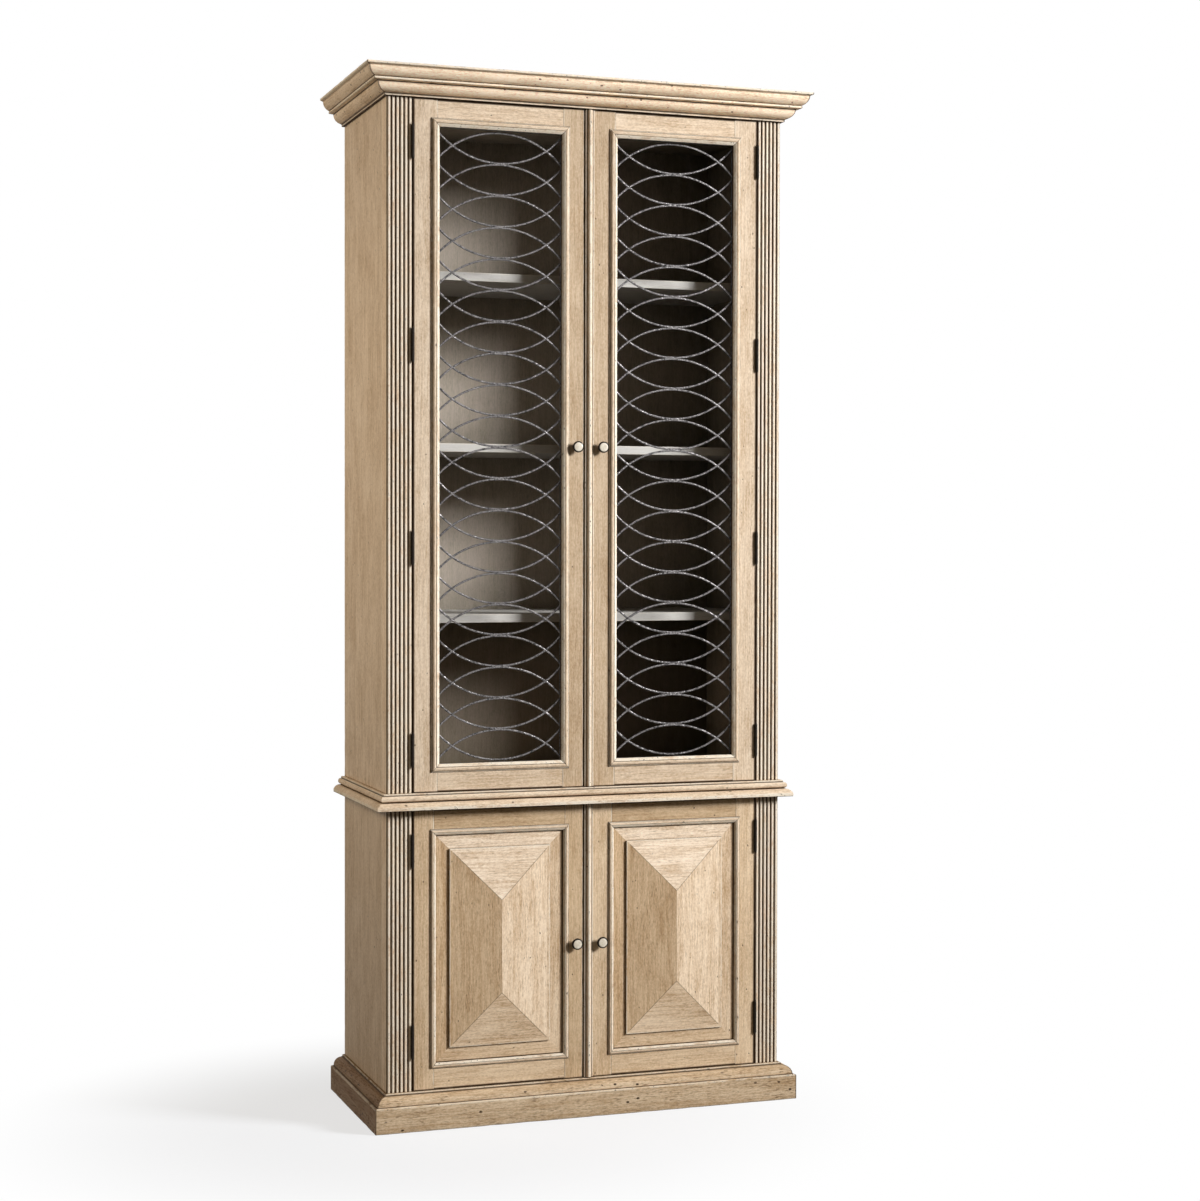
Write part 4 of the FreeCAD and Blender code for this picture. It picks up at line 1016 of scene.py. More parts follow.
class Palette:
    """Every material of the cabinet."""

    def __init__(self) -> None:
        """Build the groups and the materials."""
        groups = Groups.built()
        pale = (0.88, 0.713, 0.53, 1)
        deep = (0.48, 0.312, 0.165, 1)
        self.case = WoodFinish("case_wood", pale, deep).made(groups)
        self.low_case = WoodFinish("low_case_wood", (0.88, 0.68, 0.46, 1),
                                   (0.48, 0.297, 0.143, 1)).made(groups)
        self.moulding = WoodFinish("moulding_wood", pale, deep, figure=0.16, streaks=0.24, rub_amount=0.9,
                                   nick_amount=0.95, pores=0.5, specks=0.85, speck_density=62.0,
                                   speck_size=0.002).made(groups)
        self.plinth = WoodFinish("plinth_wood", (0.88, 0.692, 0.48, 1), (0.48, 0.302, 0.149, 1), figure=0.3,
                                 streaks=0.4, rub_amount=0.6, nick_amount=0.95, pores=0.9,
                                 speck_density=58.0, speck_size=0.0026).made(groups)
        self.panel = WoodFinish("panel_wood", (0.88, 0.732, 0.567, 1), (0.48, 0.318, 0.176, 1), figure=0.24,
                                streaks=0.38, pores=0.48, glaze_and_shade_reach=0.010, specks=0.8, warmth=1.1,
                                warm_below=1.25).made(groups)
        # Painted shade: inside, the glaze film reaches far and holds a dark olive colour, so each bay darkens
        # toward its corners and edges as shade
        self.inside = WoodFinish("inside_wood", (0.755, 0.64, 0.535, 1), (0.54, 0.465, 0.345, 1),
                                 pore=(0.19, 0.18, 0.11, 1), glaze=(0.052, 0.054, 0.022, 1),
                                 bare=(0.5, 0.46, 0.4, 1), nick=(0.024, 0.025, 0.010, 1), figure=0.2,
                                 streaks=0.35, blotch=0.2, pores=0.3, glaze_and_shade_reach=0.24, glaze_amount=0.85,
                                 rub_amount=0.1, nick_amount=0.0, specks=0.0, rough=0.6,
                                 warmth=0.1, bounce=0.4).made(groups)
        self.shelf = WoodFinish("shelf_paint", (0.68, 0.65, 0.605, 1), (0.60, 0.57, 0.505, 1),
                                pore=(0.4, 0.35, 0.28, 1), glaze=(0.2, 0.17, 0.13, 1), figure=0.2,
                                pores=0.3, glaze_amount=0.3, rub_amount=0.3, nick_amount=0.2,
                                specks=0.2, rough=0.5, bounce=0.4).made(groups)
        self.grille = MetalFinish("grille_metal", (0.21, 0.195, 0.19, 1), (0.014, 0.013, 0.013, 1),
                                  scale=300.0, rough=0.34, metallic=0.75, bump=1.0).made(groups)
        self.hinge = MetalFinish("hinge_metal", (0.030, 0.022, 0.016, 1), (0.008, 0.006, 0.004, 1),
                                 scale=500.0, rough=0.5, metallic=0.1, shine=0.15, bump=0.2).made(groups)
        self.knob = MetalFinish("knob_metal", (0.030, 0.021, 0.014, 1), (0.010, 0.007, 0.004, 1), scale=500.0,
                                rough=0.55, metallic=0.0, shine=0.12, bump=0.12).made(groups)
        self.steel = MetalFinish("screw_steel", (0.55, 0.54, 0.52, 1), (0.30, 0.29, 0.28, 1), scale=600.0,
                                 rough=0.35, bump=0.1).made(groups)
        self.inlay = SmoothFinish("knob_inlay", (0.84, 0.76, 0.62, 1), (0.70, 0.60, 0.46, 1), coat=0.3).made()
        self.plastic = SmoothFinish("dark_plastic", (0.035, 0.034, 0.033, 1), (0.05, 0.048, 0.045, 1),
                                    rough=0.5).made()


# Cabinet

@dataclass(frozen=True)
class Carcass:
    """Main faces of both cases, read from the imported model, in millimetres."""

    half: float
    front: float
    back: float
    plinth_end: float
    hutch_end: float
    top: float

    @classmethod
    def read(cls) -> "Carcass":
        """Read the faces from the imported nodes.

        Returns:
            The faces, in millimetres.
        """
        low, high = corners_of("hutch_posts")
        return cls(half=high.x, front=low.y, back=corners_of("hutch_back")[1].y,
                   plinth_end=corners_of("base_posts")[0].z, hutch_end=high.z,
                   top=corners_of("cornice_front")[1].z)


@dataclass
class EdgeMouldings:
    """Plinth and cornice: three lengths each, mitred at the front corners."""

    case: Carcass
    palette: Palette
    ease: float = 1.4
    wear: float = 1.6
    joint_line: float = 3.4
    plinth_shares: tuple = ((0.17, 1), (0.17, 0.953), (0.3, 0.935), (0.8, 0.718), (0.8, 0.7), (0.943, 0.7),
                            (1, 0.677), (1, 0))
    plinth_radius_shares: tuple = ((2, 0.224),)
    plinth_board: float = 22.0
    plinth_ledge: float = 28.0
    ledge_depth: float = 40.0
    # Painted shade: the plinth's left and right lengths are made darker than its front, for the less light on
    # the sides
    plinth_shading_tones: tuple = (0.94, 0.34, 0.78)
    crown_shares: tuple = ((1, 1), (1, 0.924), (0.885, 0.886), (0.62, 0.545), (0.655, 0.53), (0.655, 0.46),
                           (0.46, 0.44), (0.2, 0.114), (0.123, 0.083), (0.123, 0))
    crown_radius_shares: tuple = ((2, 0.36), (6, 0.333))
    crown_inset: float = 22.0
    crown_head_share: float = 0.8
    crown_head_glaze: float = 0.3
    # Painted light: the cornice is made paler, its front most, for the light that brightens its cove
    crown_shading_tones: tuple = (1.6, 1.12, 1.12)

    def plinth_outline(self) -> list[Spot]:
        """Outline of the plinth, with the ledge that carries the case.

        Returns:
            The outline, from its foot up.
        """
        overhang = corners_of("plinth_front")[1].x - self.case.half
        height = self.case.plinth_end
        ledge = height - self.plinth_ledge
        inner = self.plinth_board - overhang
        tail = [(inner, 0), (inner, ledge), (self.ledge_depth, ledge), (self.ledge_depth, height)]
        return profile(self.plinth_shares, self.plinth_radius_shares, overhang, height, tail,
                       self.ease, self.wear)

    def crown_outline(self) -> list[Spot]:
        """Outline of the cornice, with less glaze near its head.

        Returns:
            The outline, from its foot up.
        """
        overhang = corners_of("cornice_front")[1].x - self.case.half
        height = self.case.top - self.case.hutch_end
        tail = [(self.crown_inset, 0), (self.crown_inset, height)]
        spots = profile(self.crown_shares, self.crown_radius_shares, overhang, height, tail,
                        self.ease, self.wear)
        for spot in spots:
            if spot.y > self.crown_head_share * height:
                spot.hollow *= self.crown_head_glaze
        glaze_and_shade_foot(spots, GAP_GLAZE_AND_SHADE)
        return spots

    def three_lengths(self, stem: str, material: bpy.types.Material, outline: list[Spot], foot: float,
                      shading_tones: Triple) -> None:
        """Front, left and right lengths of one moulding.

        Args:
            stem: First part of the nodes' names.
            material: Their material.
            outline: The outline.
            foot: Height of its foot.
            shading_tones: Brightness of its front, left and right, which paints light and shade on the
                moulding.
        """
        case = self.case
        rear_left, left, right, rear_right = (
            Vector((x, y, foot)) for x, y in ((-case.half, case.back), (-case.half, case.front),
                                              (case.half, case.front), (case.half, case.back)))
        sides = (("front", left, right, -REARWARD, (1, 1)), ("left", rear_left, left, -RIGHT, (0, 1)),
                 ("right", right, rear_right, RIGHT, (1, 0)))
        for (part, start, end, out, mitres), tone in zip(sides, shading_tones):
            name = f"{stem}_{part}"
            piece = Piece(name + "_length", tone, self.joint_line)
            piece.run(outline, start, end, out, UP, mitres, joints=mitres)
            piece.placed([material], "case", "moulding_wood", name)

    def build(self) -> None:
        """Make both mouldings."""
        self.three_lengths("plinth", self.palette.plinth, self.plinth_outline(), 0.0, self.plinth_shading_tones)
        self.three_lengths("cornice", self.palette.moulding, self.crown_outline(), self.case.hutch_end,
                           self.crown_shading_tones)


@dataclass
class WaistBoards:
    """Top board of the lower case and bottom board of the upper one, moulded on three sides."""

    case: Carcass
    palette: Palette
    ease: float = 0.9
    wear: float = 1.2
    top_shares: tuple = ((0.5, 1), (1, 0.4), (1, 0.06), (0.96, 0))
    top_radius_shares: tuple = ((0, 0.95),)
    top_overhang: float = 28.0
    bottom_shares: tuple = ((0.48, 1), (0.48, 0.775), (0.68, 0.75), (0.68, 0.1), (0.44, 0))
    bottom_radius_shares: tuple = ((2, 0.364),)
    bottom_overhang: float = 12.5 / 0.68
    outline_depth: float = 60.0
    ring_steps: tuple = (27, 60, 27)

    def board(self, node: str, shares: tuple, radius_shares: tuple, overhang: float) -> None:
        """Build one board from level rings.

        Args:
            node: The node that it stands for.
            shares: Edge outline as shares of overhang and thickness.
            radius_shares: Arc radii as shares of the thickness.
            overhang: How far the full outline would stand out.
        """
        low, high = corners_of(node)
        thick = high.z - low.z
        tail = [(self.outline_depth, 0), (self.outline_depth, thick)]
        outline = profile(shares, radius_shares, overhang, thick, tail, self.ease, self.wear)
        edge = [spot for spot in outline if spot.x > -self.outline_depth / 2]
        glaze_and_shade_foot(edge, GAP_GLAZE_AND_SHADE)
        piece = Piece(node + "_board")
        seed = Vector((piece.chance.uniform(0, SEED_REACH), 0, 0))
        rings = [self.ring(piece, spot, low.z, seed) for spot in edge]
        marks = [[spot.mark] * len(ring) for spot, ring in zip(edge, rings)]
        piece.skin(rings, piece.timber(RIGHT, REARWARD), marks=marks)
        piece.placed([self.palette.moulding], "case", "moulding_wood", node)

    def ring(self, piece: Piece, spot: Spot, foot: float, seed: Vector) -> list[Vector]:
        """One level ring of the board's edge.

        Args:
            piece: The piece being made.
            spot: Point of the edge outline.
            foot: Height of the board's underside.
            seed: Where its wear is read.

        Returns:
            The ring's points.
        """
        case = self.case
        left, right, front = -case.half - spot.x, case.half + spot.x, case.front - spot.x
        level = foot + spot.y
        corners = [Vector((left, case.back)), Vector((left, front)), Vector((right, front)),
                   Vector((right, case.back))]
        ring = []
        for i, (normal, steps) in enumerate(zip((-RIGHT, -REARWARD, RIGHT), self.ring_steps)):
            for k in range(steps):
                flat = corners[i].lerp(corners[i + 1], k / steps)
                point = Vector((flat.x, flat.y, level))
                sink = spot.wear * piece.dent(point + seed) if k else 0.0
                ring.append(point - normal * sink)
        return [*ring, Vector((right, case.back, level))]

    def build(self) -> None:
        """Make both boards."""
        self.board("base_top", self.top_shares, self.top_radius_shares, self.top_overhang)
        self.board("hutch_base", self.bottom_shares, self.bottom_radius_shares, self.bottom_overhang)


@dataclass
class Cases:
    """Sides, reeded posts, backs and shelves of both cases."""

    palette: Palette
    post_width: float = 60.0
    post_tone: float = 1.1
    reed_count: int = 6
    reed_depth: float = 4.0
    reed_steps: int = 8
    reed_ease: float = 0.5
    reed_wear: float = 0.3
    reed_reach: float = 1.1
    # Glaze in the quirks is partly painted shade in the grooves; the crests' rubbing is partly painted
    # highlight
    quirk_start: float = 0.1
    quirk_span: float = 0.30
    crest_span: float = 0.14
    reed_crest_highlight_rub: float = 1.6
    side_tones: dict = field(default_factory=lambda: {"base": 0.92, "hutch": 0.97})
    shelf_count: int = 3
    shelf_thickness: float = 20.0
    # Painted shade: brightness and thickness of a dark sheet that darkens the lowest bay
    low_bay_shade_tone: float = 0.36
    coat: float = 0.25

    def reeded_outline(self, depth: float) -> list[Spot]:
        """Outline of a post, whose quirks hold glaze, partly painted shade, and whose crests are rubbed
        paler, partly wear and partly painted highlight.

        Args:
            depth: Depth of the post.

        Returns:
            The outline.
        """
        width, sunk_by = self.post_width, self.reed_depth
        half = width / self.reed_count / 2
        radius = (half ** 2 + sunk_by ** 2) / (2 * sunk_by)
        quirks = [(i * 2 * half, sunk_by) for i in range(self.reed_count + 1)]
        radii = {i + 1: radius for i in range(self.reed_count)}
        corners = [(0, depth), *quirks, (width, depth)]
        outline = eased(with_arcs(corners, radii, self.reed_steps), self.reed_ease, self.reed_wear)
        for spot in outline:
            if spot.y <= sunk_by * self.reed_reach:
                sunk = spot.y / sunk_by
                spot.hollow = min(max((sunk - self.quirk_start) / self.quirk_span, 0.0), 1.0)
                spot.edge = self.reed_crest_highlight_rub * max(1.0 - sunk / self.crest_span, 0.0)
        return outline

    def posts(self, stem: str) -> None:
        """Both reeded corner posts of a case, painted behind.

        Args:
            stem: First part of the node's name.
        """
        low, high = corners_of(stem + "_posts")
        outline = self.reeded_outline(high.y - low.y)
        piece = Piece(stem + "_reeded_posts", self.post_tone)
        for left in (low.x, high.x - self.post_width):
            piece.run(outline, Vector((left, low.y, low.z)), Vector((left, low.y, high.z)), RIGHT, REARWARD,
                      joints=(0.8, 0.8))
        piece.placed([self.palette.case, self.palette.inside], "case", "case_wood", stem + "_posts",
                     painted=lambda normal: normal.y > 0.9)

    def side(self, stem: str, hand: Hand) -> None:
        """One side panel, painted on its inner face.

        Args:
            stem: First part of the node's name.
            hand: Which side.
        """
        node = f"{stem}_{hand.name.lower()}_side"
        low, high = corners_of(node)
        piece = Piece(node + "_panel", self.side_tones[stem])
        piece.board(low, high, Along.HEIGHT, ease=0.7, wear=0.5)
        piece.placed([self.palette.case, self.palette.inside], "case", "case_wood", node,
                     painted=lambda normal: normal.x * hand.value < -0.9)

    def inner_board(self, node: str, along: Along) -> None:
        """A painted board of the inside.

        Args:
            node: The node that it stands for.
            along: The way its grain runs.
        """
        piece = Piece(node + "_board")
        piece.board(*corners_of(node), along, ease=0.6, wear=0.2)
        if node == "hutch_back":
            self.low_bay_painted_shade(piece)
        piece.placed([self.palette.inside], "case", "inside_wood", node)

    def low_bay_painted_shade(self, piece: Piece) -> None:
        """A dark sheet on the upper back panel, inside the lowest bay, that paints the shade there.

        Args:
            piece: The back panel.
        """
        low, high = corners_of("display_shelves")
        face = corners_of("hutch_back")[0].y
        foot = corners_of("hutch_base")[1].z
        piece.board((low.x, face - self.coat, foot), (high.x, face, low.z), ease=0.05, wear=0.0,
                    tone=self.low_bay_shade_tone)

    def shelves(self) -> None:
        """The display shelves, evenly spaced."""
        low, high = corners_of("display_shelves")
        thick = self.shelf_thickness
        pitch = (high.z - low.z - thick) / (self.shelf_count - 1)
        piece = Piece("display_shelf_boards")
        for i in range(self.shelf_count):
            foot = low.z + i * pitch
            piece.board((low.x, low.y, foot), (high.x, high.y, foot + thick), Along.WIDTH, ease=1.2, wear=0.4)
        piece.placed([self.palette.shelf], "case", "shelf_paint", "display_shelves")

    def build(self) -> None:
        """Make every board of the two cases."""
        for stem in ("base", "hutch"):
            self.posts(stem)
            for hand in Hand:
                self.side(stem, hand)
        self.inner_board("hutch_back", Along.HEIGHT)
        self.inner_board("base_back", Along.HEIGHT)
        self.inner_board("base_shelf", Along.WIDTH)
        self.shelves()


@dataclass
class Hinges:
    """Butt hinges: barrels of five knuckles, leaves let into post and stile, ball-tipped pins."""

    palette: Palette
    height: float = 76.0
    knuckles: int = 5
    radius: float = 2.8
    chamfer: float = 0.35
    gap: float = 0.3
    tip_radius: float = 2.0
    tip_steps: int = 8
    tip_turn: tuple = (0.25, 1.2)
    tip_rise_share: float = 0.65
    tip_overlap: float = 0.05
    shank_inset: float = 0.2
    bore_gap: float = 0.1
    knuckle_sides: int = 24
    pin_sides: int = 20
    pin_radius: float = 1.4
    leaf_thickness: float = 1.4
    leaf_width: float = 18.0
    leaf_start: float = 4.1
    door_gap: float = 2.0
    inset: float = 97.5
    lower_foot: float = 113.0
    lower_head: float = 93.0
    upper_count: int = 4

    @property
    def pitch(self) -> float:
        """Height from one knuckle to the next."""
        return self.height / self.knuckles

    def levels(self, tier: Tier) -> list[float]:
        """Heights of the hinges' middles on one tier's doors.

        Args:
            tier: Which pair of doors.

        Returns:
            The heights, in millimetres, from below.
        """
        low, high = corners_of(f"{tier.value}_left_door_stiles")
        if tier is Tier.LOWER:
            return [low.z + self.lower_foot, high.z - self.lower_head]
        first, last = low.z + self.inset, high.z - self.inset
        return [first + (last - first) * i / (self.upper_count - 1) for i in range(self.upper_count)]

    def axes(self, tier: Tier, hand: Hand) -> list[Vector]:
        """Middles of the barrels of one door.

        Args:
            tier: Which pair of doors.
            hand: Which door of the pair.

        Returns:
            One point for each hinge, from below.
        """
        low, high = corners_of("hinge_pins")
        across = hand.value * (high.x - self.radius)
        return [Vector((across, (low.y + high.y) / 2, level)) for level in self.levels(tier)]

    def knuckle(self, piece: Piece, axis: Vector, number: int) -> None:
        """One knuckle of the barrel.

        Args:
            piece: The piece being made.
            axis: Middle of the barrel.
            number: Which knuckle, from below.
        """
        foot = axis + UP * (number * self.pitch - self.height / 2 + self.gap / 2)
        length = self.pitch - self.gap
        bore, face, chamfer = self.pin_radius + self.bore_gap, self.radius - self.chamfer, self.chamfer
        outline = ((bore, 0), (face, 0), (self.radius, chamfer), (self.radius, length - chamfer),
                   (face, length), (bore, length))
        piece.turned(outline, foot, UP, self.knuckle_sides)

    def leaf(self, piece: Piece, axis: Vector, outward: float, numbers: Iterable[int]) -> None:
        """One leaf with its knuckles.

        Args:
            piece: The piece being made.
            axis: Middle of the barrel.
            outward: Sign of X on which the leaf lies.
            numbers: Its knuckles.
        """
        near = axis.x + outward * self.door_gap / 2
        left, right = sorted((near, near + outward * self.leaf_thickness))
        front = axis.y + self.leaf_start
        foot, head = axis.z - self.height / 2, axis.z + self.height / 2
        piece.board((left, front, foot), (right, front + self.leaf_width, head), ease=0.3, wear=0.0)
        for number in numbers:
            self.knuckle(piece, axis, number)
            start = foot + number * self.pitch + self.gap / 2
            piece.board((left, axis.y + self.radius * 0.65, start),
                        (right, front + 0.2, start + self.pitch - self.gap), ease=0.1, wear=0.0)

    def pin(self, piece: Piece, axis: Vector) -> None:
        """One pin with a ball at each end.

        Args:
            piece: The piece being made.
            axis: Middle of the barrel.
        """
        half, tip, shank = self.height / 2, self.tip_radius, self.pin_radius
        start, spare = self.tip_turn
        angles = [math.pi * (i + start) / (self.tip_steps + spare) for i in range(self.tip_steps + 1)]
        rise, reach = half + tip * self.tip_rise_share, self.tip_overlap
        foot, head = ([(math.sin(angle) * tip, sign * rise - math.cos(angle) * tip)
                       for angle in angles] for sign in (-1, 1))
        foot = [spot for spot in foot if spot[1] < -half + reach or spot[0] > shank]
        head = [spot for spot in head if spot[1] > half - reach or spot[0] > shank]
        ends = (shank, -half + self.shank_inset), (shank, half - self.shank_inset)
        piece.turned([*foot, *ends, *head], axis, UP, self.pin_sides)

    def build(self) -> None:
        """Make the leaves and pins on the case, then the leaves on each door."""
        metal = [self.palette.hinge]
        leaves, pins = Piece("case_hinge_set"), Piece("hinge_pin_set")
        doors = [(tier, hand) for tier in Tier for hand in Hand]
        for tier, hand in doors:
            for axis in self.axes(tier, hand):
                self.leaf(leaves, axis, hand.value, range(0, self.knuckles, 2))
                self.pin(pins, axis)
        leaves.placed(metal, "case", "hinge_metal", "case_hinge_leaves")
        pins.placed(metal, "case", "hinge_metal", "hinge_pins")
        for tier, hand in doors:
            stem = door_stem(tier, hand)
            piece = Piece(stem + "_hinge_set")
            for axis in self.axes(tier, hand):
                self.leaf(piece, axis, -hand.value, range(1, self.knuckles, 2))
            piece.placed(metal, stem, "hinge_metal", stem + "_hinge_leaves")


@dataclass
class Knobs:
    """Turned knobs with a pale inlay in the face."""

    palette: Palette
    radius: float = 13.5
    projection: float = 17.0
    inlay_radius: float = 10.3
    inlay_seat: float = 0.94
    inlay_rise: float = 0.06
    sides: int = 48
    shares: tuple = ((0.59, 0), (0.60, 0.06), (0.57, 0.13), (0.46, 0.18), (0.40, 0.24), (0.37, 0.34),
                     (0.38, 0.46), (0.50, 0.54), (0.74, 0.595), (0.93, 0.66), (1, 0.75), (1, 0.86),
                     (0.98, 0.93), (0.93, 0.985), (0.87, 1), (0.81, 0.985), (0.78, 0.94), (0.4, 0.935),
                     (0.1, 0.935))
    inlay_shares: tuple = ((0.1, 0), (0.985, 0), (1, 0.35), (0.99, 0.72), (0.94, 0.93), (0.6, 1.1),
                           (0.1, 1.16))

    def build(self) -> None:
        """Make all four knobs."""
        rise = self.inlay_rise * self.projection
        knob = [(r * self.radius, h * self.projection) for r, h in self.shares]
        inlay = [(r * self.inlay_radius, h * rise) for r, h in self.inlay_shares]
        for tier in Tier:
            for hand in Hand:
                stem = door_stem(tier, hand)
                low, high = corners_of(stem + "_knob")
                foot = Vector(((low.x + high.x) / 2, high.y, (low.z + high.z) / 2))
                seat = foot - REARWARD * (self.inlay_seat * self.projection)
                piece = Piece(stem + "_turned_knob")
                piece.turned(knob, foot, -REARWARD, self.sides)
                piece.turned(inlay, seat, -REARWARD, self.sides, 1)
                piece.placed([self.palette.knob, self.palette.inlay], stem, "knob_metal", stem + "_knob")


@dataclass
class Door:
    """One framed door: stiles, rails and the moulding round its opening."""

    palette: Palette
    tier: Tier
    hand: Hand
    lip: float = 4.0
    lip_depth: float = 6.0
    ease: float = 0.8
    wear: float = 0.9
    joint_glaze: float = 0.9
    stile_joint_line: float = 2.4
    rail_gap: float = 0.12
    rail_ease: float = 0.45
    rail_wear: float = 0.3
    rail_joint_glaze: float = 0.28
    moulding_width: float = 19.0
    moulding_height: float = 8.0
    moulding_shares: tuple = ((1, 0.25), (0.66, 0.75), (0.60, 0.62), (0.14, 0.5), (0.14, 0.38), (0, 0.3))
    arc_radius_share: float = 0.33
    arc_corner: int = 6
    trim_ease: float = 0.6
    trim_wear: float = 0.5
    # Painted shadow and glaze: width and thickness of a thin flat strip beside the moulding's foot, and how
    # high glaze runs up a foot
    glaze_and_shadow_line: tuple = (1.1, 0.12)
    foot_glaze_and_shade: float = 0.8
    strip_shares: tuple = ((0, 0), (0, 0.35), (0.22, 0.42), (0.78, 0.42), (1, 0.35), (1, 0))
    strip_rise: float = 9.0
    strip_radius_share: float = 0.29
    strip_arc_corner: int = 2
    strip_steps: int = 12
    # The crest's rubbing is partly painted highlight
    strip_crest_highlight_rub: float = 1.4
    strip_rub_fall: float = 2.0
    # Painted light and shade: the lower head rails are darker as the shade under the waist board, the upper
    # ones paler; the stiles beside the seam are darker as painted shade; the left doors are darker than the
    # right for light that falls from the right
    head_shading_tones: dict = field(default_factory=lambda: {Tier.UPPER: 1.06, Tier.LOWER: 0.80})
    hinge_shading_tones: dict = field(default_factory=lambda: {
        (Tier.UPPER, Hand.LEFT): 0.98, (Tier.UPPER, Hand.RIGHT): 1.0,
        (Tier.LOWER, Hand.LEFT): 0.93, (Tier.LOWER, Hand.RIGHT): 1.06})
    seam_shading_tones: dict = field(default_factory=lambda: {
        (Tier.UPPER, Hand.LEFT): 0.79, (Tier.UPPER, Hand.RIGHT): 0.82,
        (Tier.LOWER, Hand.LEFT): 0.85, (Tier.LOWER, Hand.RIGHT): 1.0})

    @property
    def stem(self) -> str:
        """First part of the names of the door's nodes, and its body."""
        return door_stem(self.tier, self.hand)

    def place(self, piece: Piece, material: bpy.types.Material, slot: str, part: str) -> None:
        """Put a finished piece on the door in place of one of its nodes."""
        piece.placed([material], self.stem, slot, f"{self.stem}_{part}")

    def opening(self) -> tuple[Vector, Vector]:
        """Corners of the visible opening inside the moulding.

        Returns:
            The lowest and the highest corner, in millimetres.
        """
        low, high = corners_of(self.stem + "_moulding")
        inset = Vector((self.moulding_width, 0, self.moulding_width))
        return low + inset, high - inset

    def stiles(self, material: bpy.types.Material) -> None:
        """Two full-height stiles, the one at the hinges glazed along its outer edge as painted shade in the
        gap, each lighter or darker by its shading tone as painted light and shade.

        Args:
            material: Their material.
        """
        low, high = corners_of(self.stem + "_stiles")
        rail_low, rail_high = corners_of(self.stem + "_rails")
        piece = Piece(self.stem + "_stile_boards", joint_line=self.stile_joint_line)
        for side, (start, end) in enumerate(((low.x, rail_low.x), (rail_high.x, high.x))):
            outer = (side == 0) == (self.hand is Hand.LEFT)
            shading_tones = self.hinge_shading_tones if outer else self.seam_shading_tones
            piece.board((start, low.y, low.z), (end, high.y, high.z), Along.HEIGHT, self.ease, self.wear,
                        joint=self.joint_glaze, glazed=(side,) if outer else (),
                        tone=shading_tones[self.tier, self.hand])
        self.place(piece, material, "case_wood", "stiles")

    def rails(self, material: bpy.types.Material) -> None:
        """Two rails between the stiles, glazed along their outer front edges as painted shade in the gaps,
        the head rail lighter or darker by its shading tone.

        Args:
            material: Their material.
        """
        low, high = corners_of(self.stem + "_stiles")
        rail_low, rail_high = corners_of(self.stem + "_rails")
        open_low, open_high = self.opening()
        left, right = rail_low.x + self.rail_gap, rail_high.x - self.rail_gap
        piece = Piece(self.stem + "_rail_boards")
        for glazed, foot, head, tone in ((0, low.z, open_low.z - self.lip, 1.0),
                                         (3, open_high.z + self.lip, high.z, self.head_shading_tones[self.tier])):
            piece.board((left, low.y, foot), (right, high.y, head), Along.WIDTH, self.rail_ease,
                        self.rail_wear, joint=self.rail_joint_glaze, glazed=(glazed,), tone=tone)
        self.place(piece, material, "case_wood", "rails")

    def moulding(self) -> None:
        """Four mitred lengths on the door's face, with a thin glazed strip at their foot that paints the
        moulding's shadow and the glaze in that corner.
        """
        width, height, deep = self.moulding_width, self.moulding_height, -self.lip_depth
        seat = width - self.lip
        wide, film = self.glaze_and_shadow_line
        crest = [(across * width, up * height) for across, up in self.moulding_shares]
        corners = [(-wide, 0), (seat, 0), (seat, deep), (width, deep), *crest, (0, film), (-wide, film)]
        radii = {self.arc_corner: self.arc_radius_share * width}
        outline = eased(with_arcs(corners, radii), self.trim_ease, self.trim_wear)
        glaze_and_shade_foot(outline, self.foot_glaze_and_shade)
        low, high = corners_of(self.stem + "_moulding")
        face = corners_of(self.stem + "_stiles")[0].y
        spots = upright(low, high, 0, face)
        piece = Piece(self.stem + "_mitred_moulding")
        for i, inward in enumerate((UP, -RIGHT, -UP, RIGHT)):
            piece.run(outline, spots[i], spots[(i + 1) % 4], inward, -REARWARD, (-1, -1),
                      joints=(self.joint_glaze, self.joint_glaze))
        self.place(piece, self.palette.moulding, "moulding_wood", "moulding")

    def seam_strip(self) -> None:
        """Half-round strip along the seam of the pair, with a crest rubbed paler, partly wear and partly
        painted highlight.
        """
        low, high = corners_of(self.stem + "_seam_strip")
        width = high.x - low.x
        corners = [(across * width, out * self.strip_rise) for across, out in reversed(self.strip_shares)]
        radii = {self.strip_arc_corner: self.strip_radius_share * width}
        outline = eased(with_arcs(corners, radii, self.strip_steps), self.trim_ease, self.trim_wear)
        glaze_and_shade_foot(outline, self.foot_glaze_and_shade)
        crest = max(spot.y for spot in outline)
        for spot in outline:
            spot.edge = max(spot.edge, self.strip_crest_highlight_rub - (crest - spot.y) * self.strip_rub_fall)
        piece = Piece(self.stem + "_half_round")
        piece.run(outline, Vector((low.x, high.y, low.z)), Vector((low.x, high.y, high.z)), RIGHT, -REARWARD,
                  ease=self.ease)
        self.place(piece, self.palette.moulding, "moulding_wood", "seam_strip")

    def infill(self) -> None:
        """What fills the opening."""
        raise NotImplementedError

    def build(self) -> None:
        """Make the whole door."""
        material = self.palette.case if self.tier is Tier.UPPER else self.palette.low_case
        self.stiles(material)
        self.rails(material)
        self.moulding()
        self.infill()
        if self.hand is Hand.RIGHT:
            self.seam_strip()


